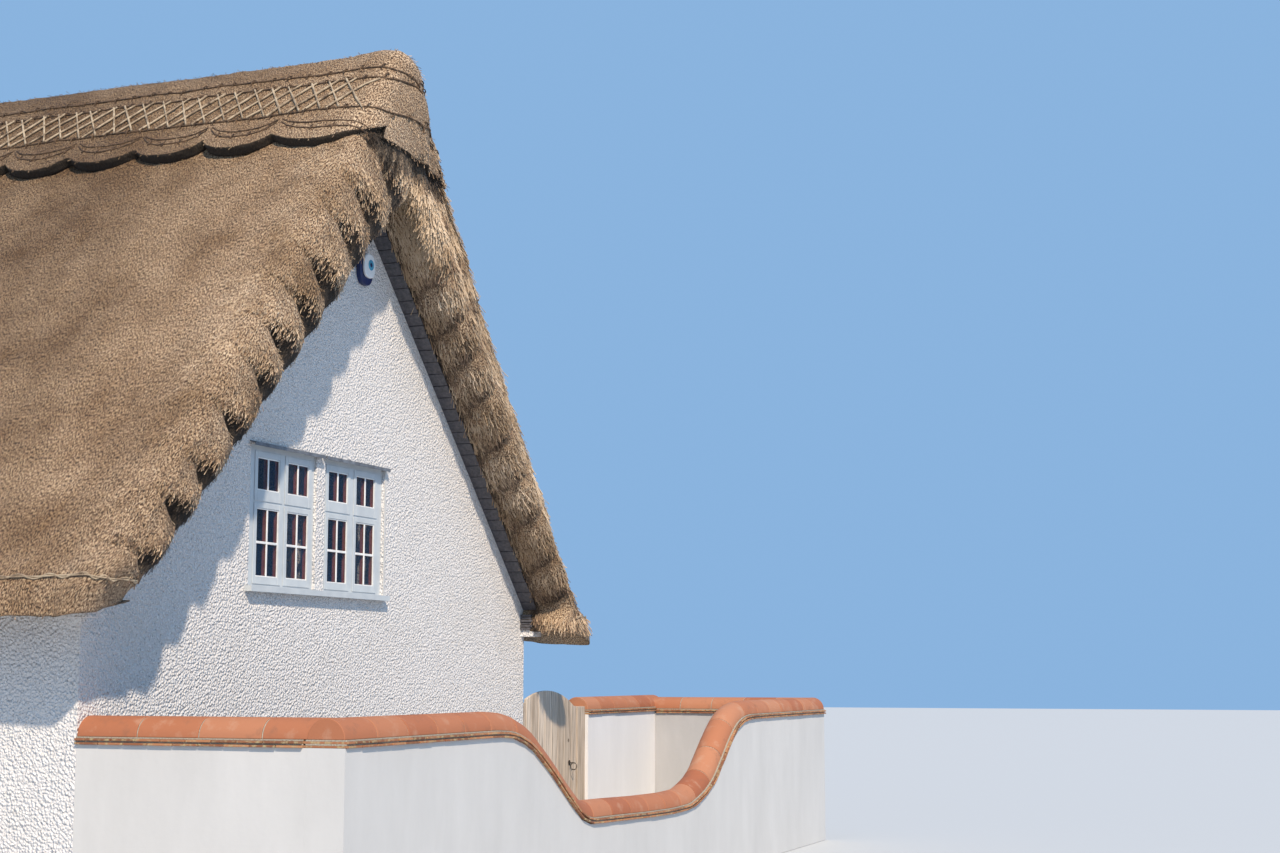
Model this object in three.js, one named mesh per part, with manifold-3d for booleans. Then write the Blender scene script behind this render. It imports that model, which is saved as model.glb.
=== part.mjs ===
// A small rendered cottage under a steep thatched roof, with the walled yard and
// the gate in front of its gable. Millimetres, +Z up. X runs across the gable,
// +Y runs back along the ridge, and the origin is on the ground, in the middle
// of the thickness of the front gable wall, below the ridge.
import * as THREE from 'three';
import { mergeVertices } from 'three/addons/utils/BufferGeometryUtils.js';
import Module from 'manifold-3d';

const wasm = await Module();
wasm.setup();

// Driving dimensions of the house
const houseHalfWidth = 3100;
const houseLength = 9300;
const wallThickness = 300;
const gap = 0.3;
const rakeSlope = 0.97;
const gableApexZ = 5198;
const slateThickness = 45;
const slateOverhang = 130;

// Driving dimensions of the thatch
const vergeOverhang = 350;
const vergeRoll = 150;
const vergeRounding = 110;
const thatchSlope = 1.19;
const thatchLineZ = 6355;
const thatchApexZ = 6200;
const eavesTip = [3625, 1955];
const soffitAtWallZ = 2065;

// Driving dimensions of the ridge
const ridgeTopZ = 6293;
const ridgeThickness = 120;
const ridgeOverhang = 430;
const scallopCuspX = 730;
const scallopDepth = 95;
const scallopCount = 15;
const endScallopLength = 710;
const scallopSteps = 6;

// Driving dimensions of the floors
const groundFloorTop = 100;
const upperFloorBottom = 1930;
const upperFloorTop = 2080;

// Driving dimensions of the gable windows: two pairs of lights beside one pier
const gableWindow = { left: -1350, pier: [-490, -370], right: 508, bottom: 2235, top: 3192 };
const outerJamb = 115;
const innerJamb = 78;
const lightWidth = 280;
const transom = { bottom: 2766, top: 2888 };
const casementBottom = 2302;
const toplightTop = 3112;
const frameRecess = 20;
const frameDepth = 70;
const sashThickness = 20;
const rebateMargin = 30;
const glassThickness = 6;

// Driving dimensions of the long walls' windows and door
const sideWindow = { width: 900, bottom: 900, top: 1700, jamb: 80, mullion: 70, rail: 80 };
const leftWindowCentres = [2600, 6400];
const rightWindowCentres = [6800];
const door = { centre: 4100, width: 900, bottom: groundFloorTop, top: 1880, frame: 60 };

// Driving dimensions of the yard
const yard = { left: -3100, right: 6582, thickness: 240, frontDepth: 1757 };
const yardWallTop = 1250;
const backWallTop = 1270;
const backWallLeft = 4540;
const backWallSetback = -20;
const creasingHeight = 45;
const creasingOverhang = 22;
const copingRadius = 118;
const copingOverhang = 6;

// Driving dimensions of the gate
const gate = { left: 3210, right: 4345, bottom: 60, setback: 20, board: 24, ledge: 32 };
const gateArch = { centreX: 3660, topZ: 1500, shoulderX: 4300, shoulderZ: 1352 };
const hangingPost = { left: 3100 + gap, right: 3176, top: 1400 };
const latchPost = { left: 4355, right: backWallLeft - gap, top: 1346 };
const hingeX = 3194;
const hingeHeights = [260, 1080];
const ringHandle = { x: 4180, z: 836, drop: 32, standOff: 47, radius: 31, bar: 5 };

// Levels that follow from the driving dimensions
const frontFace = -wallThickness / 2;
const rearFace = frontFace + houseLength;
const innerFront = wallThickness / 2;
const innerRear = rearFace - wallThickness;
const innerHalfWidth = houseHalfWidth - wallThickness;
const rakeZ = (x) => gableApexZ - rakeSlope * Math.abs(x);
const thatchUndersideZ = (x) => rakeZ(x) + slateThickness + 2 * gap;
const yardFrontFace = frontFace - yard.frontDepth;
const yardInnerFace = yardFrontFace + yard.thickness;
const backWallFace = frontFace + backWallSetback;

const finishes = {
  pebbledash: { color: '#efede8', roughness: 0.95 },
  render: { color: '#e4e1dc', roughness: 0.9 },
  thatch: { color: '#9c8466', roughness: 1 },
  slate: { color: '#58524e', roughness: 0.85 },
  paint: { color: '#a9bccd', roughness: 0.5 },
  glass: { color: '#26374f', roughness: 0.08 },
  lead: { color: '#6f7278', roughness: 0.6, metalness: 0.4 },
  floor: { color: '#8a6f52', roughness: 0.8 },
  doorPaint: { color: '#7e97ad', roughness: 0.6 },
  plastic: { color: '#e9edf0', roughness: 0.45 },
  creasing: { color: '#a8704c', roughness: 0.95 },
  terracotta: { color: '#c9744f', roughness: 0.9 },
  gateWood: { color: '#a89c8c', roughness: 0.95 },
  iron: { color: '#4a4845', roughness: 0.55, metalness: 0.8 },
};

const cottage = new THREE.Group();

function add(name, geometry, finish) {
  const mesh = new THREE.Mesh(geometry, new THREE.MeshStandardMaterial(finishes[finish]));
  mesh.name = name;
  cottage.add(mesh);
  return mesh;
}

// Solids for cutting and joining

function solid(geometry) {
  const bare = geometry.clone();
  bare.deleteAttribute('normal');
  bare.deleteAttribute('uv');
  const merged = mergeVertices(bare, 1e-3);
  return new wasm.Manifold(new wasm.Mesh({
    numProp: 3,
    vertProperties: new Float32Array(merged.attributes.position.array),
    triVerts: new Uint32Array(merged.index.array),
  }));
}

function toGeometry(manifold) {
  const mesh = manifold.getMesh();
  const geometry = new THREE.BufferGeometry();
  geometry.setAttribute('position', new THREE.BufferAttribute(mesh.vertProperties, 3));
  geometry.setIndex(new THREE.BufferAttribute(mesh.triVerts, 1));
  geometry.computeVertexNormals();
  return geometry;
}

function box(low, high) {
  const size = high.map((value, i) => value - low[i]);
  const middle = high.map((value, i) => (value + low[i]) / 2);
  return new THREE.BoxGeometry(...size).translate(...middle);
}

function cut(base, ...tools) {
  return toGeometry(tools.reduce((rest, tool) => rest.subtract(solid(tool)), solid(base)));
}

function join(...parts) {
  return toGeometry(parts.map(solid).reduce((whole, part) => whole.add(part)));
}

function overlap(a, b) {
  return toGeometry(solid(a).intersect(solid(b)));
}

function shapeOf(points) {
  return new THREE.Shape(points.map(([a, b]) => new THREE.Vector2(a, b)));
}

// An outline in X and Z, run along Y
function alongY(points, y0, y1) {
  const geometry = new THREE.ExtrudeGeometry(shapeOf(points), { depth: y1 - y0, bevelEnabled: false });
  return geometry.rotateX(Math.PI / 2).translate(0, y1, 0);
}

// An outline in Y and Z, run along X
function alongX(points, x0, x1) {
  const geometry = new THREE.ExtrudeGeometry(shapeOf(points), { depth: x1 - x0, bevelEnabled: false });
  return geometry.rotateY(Math.PI / 2).rotateX(Math.PI / 2).translate(x0, 0, 0);
}

// An outline in X and Y, run up Z
function alongZ(points, z0, z1) {
  const geometry = new THREE.ExtrudeGeometry(shapeOf(points), { depth: z1 - z0, bevelEnabled: false });
  return geometry.translate(0, 0, z0);
}

function mirrored(points) {
  return points.map(([x, z]) => [-x, z]).reverse();
}

// The whole outline of a section whose right half runs from top to underside
function bothSides(right) {
  return [...right, ...mirrored(right).slice(1)];
}

// Gable walls, with the kneeler stones that carry the foot of the verge

const kneeler = { reach: 105, bottom: 1975, top: 2034, front: 120 };

function gableWall(y0, y1, frontY, openings) {
  const outline = [
    [-houseHalfWidth, 0], [houseHalfWidth, 0],
    [houseHalfWidth, rakeZ(houseHalfWidth)], [0, gableApexZ],
    [-houseHalfWidth, rakeZ(houseHalfWidth)],
  ];
  const outward = Math.sign(frontY - (y0 + y1) / 2);
  const kneelerFace = frontY + outward * kneeler.front;
  const kneelers = [-1, 1].map((side) => {
    const inner = side * (houseHalfWidth - 60);
    const outer = side * (houseHalfWidth + kneeler.reach);
    return box(
      [Math.min(inner, outer), Math.min(kneelerFace, (y0 + y1) / 2), kneeler.bottom],
      [Math.max(inner, outer), Math.max(kneelerFace, (y0 + y1) / 2), kneeler.top],
    );
  });
  const holes = openings.map(([x0, x1]) => box(
    [x0, y0 - 10, gableWindow.bottom], [x1, y1 + 10, gableWindow.top],
  ));
  return cut(join(alongY(outline, y0, y1), ...kneelers), ...holes);
}

const pairs = [
  { name: 'left', x0: gableWindow.left, x1: gableWindow.pier[0], jambs: [outerJamb, innerJamb] },
  { name: 'right', x0: gableWindow.pier[1], x1: gableWindow.right, jambs: [innerJamb, outerJamb] },
];
const gableOpenings = pairs.map((pair) => [pair.x0, pair.x1]);

add('front_gable_wall', gableWall(frontFace, innerFront, frontFace, gableOpenings), 'pebbledash');
add('rear_gable_wall', gableWall(innerRear, rearFace, rearFace, gableOpenings), 'pebbledash');

// Long walls, with their tops cut to the slope of the thatch

function sideWall(side, windowCentres, doorCentres) {
  const outline = [
    [innerHalfWidth, 0], [houseHalfWidth, 0],
    [houseHalfWidth, thatchUndersideZ(houseHalfWidth) - gap],
    [innerHalfWidth, thatchUndersideZ(innerHalfWidth) - gap],
  ];
  const points = side > 0 ? outline : mirrored(outline);
  const reach = [side * (innerHalfWidth - 50), side * (houseHalfWidth + 50)].sort((a, b) => a - b);
  const hole = (centre, width, bottom, top) => box(
    [reach[0], centre - width / 2, bottom], [reach[1], centre + width / 2, top],
  );
  const holes = [
    ...windowCentres.map((y) => hole(y, sideWindow.width, sideWindow.bottom, sideWindow.top)),
    ...doorCentres.map((y) => hole(y, door.width, door.bottom, door.top)),
  ];
  return cut(alongY(points, innerFront + gap, innerRear - gap), ...holes);
}

add('left_wall', sideWall(-1, leftWindowCentres, []), 'pebbledash');
add('right_wall', sideWall(1, rightWindowCentres, [door.centre]), 'pebbledash');

// Floors

function floorSlab(bottom, top) {
  const halfWidth = innerHalfWidth - gap;
  return box([-halfWidth, innerFront + gap, bottom], [halfWidth, innerRear - gap, top]);
}

add('ground_floor', floorSlab(0, groundFloorTop), 'floor');
add('upper_floor', floorSlab(upperFloorBottom, upperFloorTop), 'floor');

// Thatch: one thick coat, parted under the ridge, with a soft roll at each verge

const thatchTopX = (thatchLineZ - thatchApexZ) / thatchSlope;
const thatchZ = (x) => thatchLineZ - thatchSlope * x;
const eavesShoulderX = 3420;
const thatchOuter = [
  [thatchTopX, thatchApexZ], [eavesShoulderX, thatchZ(eavesShoulderX)], eavesTip,
  [houseHalfWidth + gap, soffitAtWallZ],
];

function thatchOutline(drop) {
  const wallX = houseHalfWidth + gap;
  const underside = (x) => thatchUndersideZ(x) - drop;
  return bothSides([...thatchOuter, [wallX, underside(wallX)], [0, underside(0)]]);
}

function thatchCoat() {
  const front = frontFace - vergeOverhang - vergeRoll;
  const rear = rearFace + vergeOverhang + vergeRoll;
  const slateFront = frontFace - slateOverhang - gap;
  const slateRear = rearFace + slateOverhang + gap;
  const rolled = new THREE.ExtrudeGeometry(shapeOf(thatchOutline(slateThickness + gap)), {
    depth: rear - front - 2 * vergeRoll,
    bevelEnabled: true,
    bevelThickness: vergeRoll,
    bevelSize: vergeRounding,
    bevelOffset: -vergeRounding,
    bevelSegments: 3,
  }).rotateX(Math.PI / 2).translate(0, rear - vergeRoll, 0);
  const reach = 5000;
  const lap = 50;
  const middle = alongY(thatchOutline(0), slateFront - lap, slateRear + lap);
  const ends = cut(rolled, box([-reach, slateFront, 0], [reach, slateRear, 2 * reach]));
  return join(ends, middle);
}

const coat = thatchCoat();
const beyond = 6000;
const leftHalf = box([-beyond, -beyond, 0], [-gap / 2, 3 * beyond, 2 * beyond]);
const rightHalf = box([gap / 2, -beyond, 0], [beyond, 3 * beyond, 2 * beyond]);
add('thatch_left', overlap(coat, leftHalf), 'thatch');
add('thatch_right', overlap(coat, rightHalf), 'thatch');

// Ridge: a saddle of thatch over both slopes, its lower edges cut in scallops

function scallopEdge() {
  const front = frontFace - ridgeOverhang;
  const rear = rearFace + ridgeOverhang;
  const pitch = (rear - front - 2 * endScallopLength) / scallopCount;
  const lengths = [endScallopLength, ...Array(scallopCount).fill(pitch), endScallopLength];
  const edge = [];
  let start = front;
  for (const length of lengths) {
    for (let step = 0; step < scallopSteps; step += 1) {
      const t = step / scallopSteps;
      edge.push([scallopCuspX + scallopDepth * Math.sqrt(1 - (2 * t - 1) ** 2), start + t * length]);
    }
    start += length;
  }
  edge.push([scallopCuspX, rear]);
  return edge;
}

function ridgeSaddle() {
  const top = (x) => thatchZ(x) + ridgeThickness;
  const under = (x) => thatchZ(x) + 2 * gap;
  const lowX = scallopCuspX + scallopDepth + 60;
  const outer = [[0, ridgeTopZ], [100, 6280], [190, 6235], [300, top(300)], [lowX, top(lowX)]];
  const inner = [[0, thatchApexZ + gap], [thatchTopX, thatchApexZ + gap], [lowX, under(lowX)]];
  const half = [...outer, ...[...inner].reverse()];
  const outline = [...half, ...mirrored(half).slice(1, -1)];
  const band = alongY(outline, frontFace - ridgeOverhang, rearFace + ridgeOverhang);
  const edge = scallopEdge();
  const plan = [...edge, ...mirrored(edge)];
  return overlap(band, alongZ(plan, 4000, 7000));
}

add('ridge_cap', ridgeSaddle(), 'thatch');

// Undercloak: the course of slates bedded on each gable under the verge

function undercloak(y0, y1) {
  const end = houseHalfWidth;
  return alongY([
    [-end, rakeZ(end) + gap], [0, gableApexZ + gap], [end, rakeZ(end) + gap],
    [end, rakeZ(end) + gap + slateThickness], [0, gableApexZ + gap + slateThickness],
    [-end, rakeZ(end) + gap + slateThickness],
  ], y0, y1);
}

add('front_undercloak', undercloak(frontFace - slateOverhang, innerFront), 'slate');
add('rear_undercloak', undercloak(innerRear, rearFace + slateOverhang), 'slate');

// Windows: a painted frame with thin sashes at its face and the panes in a rebate behind them

// The frame's outer face is at faceY, and inward is the sign of Y into the room
function windowFrame(x0, x1, z0, z1, faceY, inward, lights) {
  const slab = (a, b, c, d, near, far) => {
    const ys = [faceY + inward * near, faceY + inward * far].sort((p, q) => p - q);
    return box([a, ys[0], c], [b, ys[1], d]);
  };
  const m = rebateMargin;
  return cut(
    slab(x0 + gap, x1 - gap, z0 + gap, z1 - gap, 0, frameDepth),
    slab(x0 + m, x1 - m, z0 + m, z1 - m, sashThickness, frameDepth + 10),
    ...lights.map(([a, b, c, d]) => slab(a, b, c, d, -10, frameDepth)),
  );
}

function gableFrame(pair, faceY, inward) {
  const first = pair.x0 + pair.jambs[0];
  const second = pair.x1 - pair.jambs[1] - lightWidth;
  const lights = [first, second].flatMap((x) => [
    [x, x + lightWidth, casementBottom, transom.bottom],
    [x, x + lightWidth, transom.top, toplightTop],
  ]);
  return windowFrame(pair.x0, pair.x1, gableWindow.bottom, gableWindow.top, faceY, inward, lights);
}

function pane(x0, x1, z0, z1, faceY, inward) {
  const edge = rebateMargin + 1;
  const near = faceY + inward * (sashThickness + gap);
  const ys = [near, near + inward * glassThickness].sort((p, q) => p - q);
  return box([x0 + edge, ys[0], z0 + edge], [x1 - edge, ys[1], z1 - edge]);
}

const sillHeight = 38;
const sillReach = 55;
const sillHorn = 40;

function gableSill(outerY, outward) {
  const ys = [outerY + outward * gap, outerY + outward * sillReach].sort((a, b) => a - b);
  const top = gableWindow.bottom;
  return box(
    [gableWindow.left - sillHorn, ys[0], top - sillHeight],
    [gableWindow.right + sillHorn / 2, ys[1], top],
  );
}

for (const pair of pairs) {
  const { bottom, top } = gableWindow;
  for (const [end, faceY, inward] of [
    ['front', frontFace + frameRecess, 1], ['rear', rearFace - frameRecess, -1],
  ]) {
    add(`${end}_${pair.name}_window_frame`, gableFrame(pair, faceY, inward), 'paint');
    add(`${end}_${pair.name}_window_glass`, pane(pair.x0, pair.x1, bottom, top, faceY, inward), 'glass');
  }
}
add('front_window_sill', gableSill(frontFace, -1), 'paint');
add('rear_window_sill', gableSill(rearFace, 1), 'paint');

// Lead flashings over the two pairs of front lights
const flashing = { reach: 42, thickness: 9, fall: 10, horn: 20 };

function headFlashing(x0, x1) {
  const back = frontFace - gap;
  const front = frontFace - flashing.reach;
  const top = gableWindow.top + flashing.fall + flashing.thickness;
  return alongX([
    [front, top - flashing.fall - flashing.thickness], [back, top - flashing.thickness],
    [back, top], [front, top - flashing.fall],
  ], x0, x1);
}

const pierMiddle = (gableWindow.pier[0] + gableWindow.pier[1]) / 2;
add('front_left_flashing', headFlashing(gableWindow.left - flashing.horn, pierMiddle - 10), 'lead');
add('front_right_flashing', headFlashing(pierMiddle + 10, gableWindow.right + flashing.horn), 'lead');

// Two-light windows of the long walls, drawn across X and turned to face sideways

function placeSideways(geometry, side, centreY) {
  return geometry.rotateZ(side * Math.PI / 2).translate(side * houseHalfWidth, centreY, 0);
}

function sideWindowPieces(name, side, centreY) {
  const { width, bottom, top, jamb, mullion, rail } = sideWindow;
  const half = width / 2;
  const lights = [
    [-half + jamb, -mullion / 2, bottom + rail, top - rail],
    [mullion / 2, half - jamb, bottom + rail, top - rail],
  ];
  const frame = windowFrame(-half, half, bottom, top, frameRecess, 1, lights);
  const glass = pane(-half, half, bottom, top, frameRecess, 1);
  add(`${name}_frame`, placeSideways(frame, side, centreY), 'paint');
  add(`${name}_glass`, placeSideways(glass, side, centreY), 'glass');
}

leftWindowCentres.forEach((y, i) => sideWindowPieces(`left_window_${i + 1}`, -1, y));
rightWindowCentres.forEach((y, i) => sideWindowPieces(`right_window_${i + 1}`, 1, y));

// The plank door of the right wall, shut in its frame

const doorRecess = 40;
const doorFrameDepth = 90;
const doorBoard = 45;

function doorFrame() {
  const half = door.width / 2;
  const frame = box([-half + gap, doorRecess, door.bottom + gap],
    [half - gap, doorRecess + doorFrameDepth, door.top - gap]);
  const way = box([-half + door.frame, doorRecess - 10, door.bottom - 10],
    [half - door.frame, doorRecess + doorFrameDepth + 10, door.top - door.frame]);
  return cut(frame, way);
}

function doorLeaf() {
  const half = door.width / 2 - door.frame - gap;
  const y0 = doorRecess + 20;
  return box([-half, y0, door.bottom + gap], [half, y0 + doorBoard, door.top - door.frame - gap]);
}

add('door_frame', placeSideways(doorFrame(), 1, door.centre), 'paint');
add('door_leaf', placeSideways(doorLeaf(), 1, door.centre), 'doorPaint');

// Alarm box high on the gable

const alarm = { x: 114, z: 4671, width: 200, height: 245, depth: 62, corner: 45 };

function alarmCase() {
  const halfWidth = alarm.width / 2;
  const halfHeight = alarm.height / 2;
  const { corner } = alarm;
  const outline = [
    [-halfWidth, halfHeight - corner], [-halfWidth + corner, halfHeight],
    [halfWidth - corner, halfHeight], [halfWidth, halfHeight - corner],
    [halfWidth * 0.8, -halfHeight], [-halfWidth * 0.8, -halfHeight],
  ];
  return alongY(outline, frontFace - alarm.depth, frontFace - gap).translate(alarm.x, 0, alarm.z);
}

add('alarm_box', alarmCase(), 'plastic');

// Yard walls: the top of the front wall dips between two level ends

function wallTopCurve() {
  const z = yardWallTop;
  return [
    [yard.left, z], [-1900, z], [-1137, z], [-900, 1236], [-640, 1160], [-320, 980], [0, 775],
    [230, 640], [400, 596], [900, 584], [1500, 566], [2100, 556], [2510, 566], [2700, 605],
    [2930, 668], [3130, 760], [3330, 905], [3540, 1065], [3740, 1180], [3920, 1232],
    [4110, z], [5300, z], [yard.right, z],
  ];
}

// A line set off from the wall top, square to it
function offsetLine(points, distance) {
  return points.map((point, i) => {
    const before = points[Math.max(i - 1, 0)];
    const after = points[Math.min(i + 1, points.length - 1)];
    const length = Math.hypot(after[0] - before[0], after[1] - before[1]);
    const nx = -(after[1] - before[1]) / length;
    const nz = (after[0] - before[0]) / length;
    return [point[0] + nx * distance, point[1] + nz * distance];
  });
}

const frontTop = wallTopCurve();
add('yard_front_wall', alongY(
  [[yard.left, 0], [yard.right, 0], ...[...frontTop].reverse()], yardFrontFace, yardInnerFace,
), 'render');

function creasingAlong(line, y0, y1) {
  const band = [...offsetLine(line, gap), ...offsetLine(line, gap + creasingHeight).reverse()].reverse();
  return alongY(band, y0 - creasingOverhang, y1 + creasingOverhang);
}

// A half-round of the given radius, set with its flat side on the line
function halfRoundAlong(line, middleY, radius, lift) {
  const sides = 8;
  const rings = Array.from({ length: sides + 1 }, (_, i) => {
    const angle = Math.PI * i / sides;
    const y = middleY - radius * Math.cos(angle);
    return offsetLine(line, lift + radius * Math.sin(angle)).map(([x, z]) => [x, y, z]);
  });
  const count = sides + 1;
  const vertices = line.flatMap((_, i) => rings.flatMap((ring) => ring[i]));
  const faces = [];
  for (let i = 0; i < line.length - 1; i += 1) {
    for (let j = 0; j < count; j += 1) {
      const a = i * count + j;
      const b = i * count + (j + 1) % count;
      faces.push(a, a + count, b, b, a + count, b + count);
    }
  }
  for (let j = 1; j < sides; j += 1) {
    const last = (line.length - 1) * count;
    faces.push(0, j, j + 1, last, last + j + 1, last + j);
  }
  const geometry = new THREE.BufferGeometry();
  geometry.setAttribute('position', new THREE.BufferAttribute(new Float32Array(vertices), 3));
  geometry.setIndex(faces);
  geometry.computeVertexNormals();
  return geometry;
}

const copingLift = 2 * gap + creasingHeight;
const yardMiddleY = (yardFrontFace + yardInnerFace) / 2;
const rightEndLine = [...frontTop.slice(0, -1), [yard.right + copingOverhang, yardWallTop]];
const frontCoping = halfRoundAlong(rightEndLine, yardMiddleY, copingRadius, copingLift);
add('yard_front_creasing', creasingAlong(frontTop, yardFrontFace, yardInnerFace), 'creasing');
add('yard_front_coping', frontCoping, 'terracotta');

// The level walls that run back from the front wall, and the wall beside the gate

function levelLine(length, z) {
  return [[0, z], [length, z]];
}

// A piece drawn along X from 0, turned to run along Y from y0 with its middle at x
function turned(geometry, x, y0) {
  return geometry.rotateZ(Math.PI / 2).translate(x, y0, 0);
}

function returnWall(name, x0, y0, y1) {
  const half = yard.thickness / 2;
  const middle = x0 + half;
  const creasingStart = y0 + creasingOverhang;
  const creasingLength = y1 - creasingStart - (y1 === backWallFace - gap ? creasingOverhang : 0);
  add(`${name}_wall`, box([x0, y0, 0], [x0 + yard.thickness, y1, yardWallTop]), 'render');
  const creasing = creasingAlong(levelLine(creasingLength, yardWallTop), -half, half);
  add(`${name}_creasing`, turned(creasing, middle, creasingStart), 'creasing');
  return middle;
}

const sideStart = yardInnerFace + gap;
const leftReturn = returnWall('yard_left', yard.left, sideStart, frontFace - gap);
const rightReturn = returnWall('yard_right', yard.right - yard.thickness, sideStart, backWallFace - gap);

function returnCoping(x, y0, y1) {
  const coping = halfRoundAlong(levelLine(y1 - y0, yardWallTop), 0, copingRadius, copingLift);
  return turned(coping, x, y0);
}

const copingClearance = halfRoundAlong(rightEndLine, yardMiddleY, copingRadius + gap, copingLift);
const backCopingLine = [[backWallLeft, backWallTop], [yard.right + copingOverhang, backWallTop]];
const backMiddleY = backWallFace + yard.thickness / 2;
const backClearance = halfRoundAlong(backCopingLine, backMiddleY, copingRadius + gap, copingLift);
const backCreasingBlock = box(
  [backWallLeft - 10, backWallFace - creasingOverhang - gap, 0],
  [yard.right + 50, backWallFace + yard.thickness, backWallTop + creasingHeight + 2 * gap],
);

const leftCoping = returnCoping(leftReturn, yardMiddleY, frontFace - gap);
const rightCoping = returnCoping(rightReturn, yardMiddleY, backMiddleY);
const frontBelow = box(
  [yard.left - 50, yardFrontFace, 0],
  [yard.right + 50, yardMiddleY + copingRadius + gap, yardWallTop + copingLift],
);
const rightCutters = [copingClearance, frontBelow, backClearance, backCreasingBlock];
add('yard_left_coping', cut(leftCoping, copingClearance, frontBelow), 'terracotta');
add('yard_right_coping', cut(rightCoping, ...rightCutters), 'terracotta');

const backLine = [[backWallLeft, backWallTop], [yard.right, backWallTop]];
add('yard_back_wall', box(
  [backWallLeft, backWallFace, 0], [yard.right, backWallFace + yard.thickness, backWallTop],
), 'render');
add('yard_back_creasing', creasingAlong(backLine, backWallFace, backWallFace + yard.thickness), 'creasing');
add('yard_back_coping', halfRoundAlong(backCopingLine, backMiddleY, copingRadius, copingLift), 'terracotta');

// Gate between the house corner and the back wall: arched boards on two ledges

const boardFront = frontFace + gate.setback;
const boardBack = boardFront + gate.board;
const ledgeBack = boardBack + gap + gate.ledge;
const strap = { thickness: 6, height: 34, length: 620 };
const knuckle = { radius: 11, bore: 6.6, height: 40 };
const pinRadius = 6;
const hingeY = ledgeBack + gap + strap.thickness + 3;

function gateBoards() {
  const { centreX, topZ, shoulderX, shoulderZ } = gateArch;
  const halfChord = shoulderX - centreX;
  const rise = topZ - shoulderZ;
  const radius = (halfChord ** 2 + rise ** 2) / (2 * rise);
  const arcZ = (x) => topZ - radius + Math.sqrt(radius ** 2 - (x - centreX) ** 2);
  const steps = 14;
  const arc = Array.from({ length: steps + 1 }, (_, i) => {
    const x = shoulderX - (shoulderX - gate.left) * i / steps;
    return [x, arcZ(x)];
  });
  const outline = [[gate.left, gate.bottom], [gate.right, gate.bottom], [gate.right, shoulderZ], ...arc];
  return alongY(outline, boardFront, boardBack);
}

function gateLedges() {
  const width = 110;
  const inset = 18;
  const y0 = boardBack + gap;
  const rails = hingeHeights.map((z) => box(
    [gate.left + inset, y0, z - width / 2 + knuckle.height / 2],
    [gate.right - 3 * inset, ledgeBack, z + width / 2 + knuckle.height / 2],
  ));
  const low = hingeHeights[0] + knuckle.height / 2;
  const high = hingeHeights[1] + knuckle.height / 2;
  const brace = alongY([
    [gate.left + inset, low], [gate.left + inset + width * 1.3, low],
    [gate.right - 3 * inset, high], [gate.right - 3 * inset - width * 1.3, high],
  ], y0, ledgeBack);
  return join(brace, ...rails);
}

function cylinder(radius, height, sides = 16) {
  return new THREE.CylinderGeometry(radius, radius, height, sides).rotateX(Math.PI / 2);
}

function gateStrap(z) {
  const middle = z + knuckle.height / 2;
  const y0 = ledgeBack + gap;
  const narrow = strap.height * 0.3;
  const blade = alongY([
    [hingeX, middle - strap.height / 2], [hingeX + strap.length, middle - narrow],
    [hingeX + strap.length + 40, middle], [hingeX + strap.length, middle + narrow],
    [hingeX, middle + strap.height / 2],
  ], y0, y0 + strap.thickness);
  const barrel = cylinder(knuckle.radius, knuckle.height).translate(hingeX, hingeY, middle);
  const bore = cylinder(knuckle.bore, knuckle.height + 20).translate(hingeX, hingeY, middle);
  return cut(join(blade, barrel), bore);
}

function gatePintle(z) {
  const arm = box(
    [hangingPost.right + gap, hingeY - 10, z - 18], [hingeX + 10, hingeY + 10, z - 1],
  );
  const pin = cylinder(pinRadius, knuckle.height + 14).translate(hingeX, hingeY, z + knuckle.height / 2 - 5);
  return join(arm, pin);
}

const postDepth = [boardFront - 10, hingeY + 16];
add('gate_boards', gateBoards(), 'gateWood');
add('gate_ledges', gateLedges(), 'gateWood');
['lower', 'upper'].forEach((level, i) => {
  add(`gate_${level}_strap`, gateStrap(hingeHeights[i]), 'iron');
  add(`gate_${level}_pintle`, gatePintle(hingeHeights[i]), 'iron');
});
add('gate_hanging_post', box(
  [hangingPost.left, postDepth[0], 0], [hangingPost.right, postDepth[1], hangingPost.top],
), 'gateWood');
add('gate_latch_post', box(
  [latchPost.left, postDepth[0], 0], [latchPost.right, postDepth[1] + 30, latchPost.top],
), 'gateWood');

// Ring handle: the plate stays on the boards, the ring turns on its spindle
const handlePlate = { radius: 24, thickness: 4, bore: 7 };
const spindleRadius = 6;

function ringPlate() {
  const plate = cylinder(handlePlate.radius, handlePlate.thickness).rotateX(Math.PI / 2);
  const bore = cylinder(handlePlate.bore, 20).rotateX(Math.PI / 2);
  return cut(plate, bore).translate(ringHandle.x, boardFront - gap - handlePlate.thickness / 2, ringHandle.z);
}

function ringPiece() {
  const { x, z, drop, standOff, radius, bar } = ringHandle;
  const ring = new THREE.TorusGeometry(radius, bar, 8, 20).rotateY(Math.PI / 2)
    .translate(x, boardFront - standOff, z - drop);
  const spindle = cylinder(spindleRadius, standOff - 1, 12).rotateX(Math.PI / 2)
    .translate(x, boardFront - (standOff + 1) / 2 - 0.5, z);
  return join(ring, spindle);
}

add('gate_ring_plate', ringPlate(), 'iron');
add('gate_ring', ringPiece(), 'iron');

export default cottage;
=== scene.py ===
"""A small white cottage under a thick thatched roof, with its walled front yard and arched board gate."""
import math
import bpy
import numpy as np
from mathutils import Matrix, Vector


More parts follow.
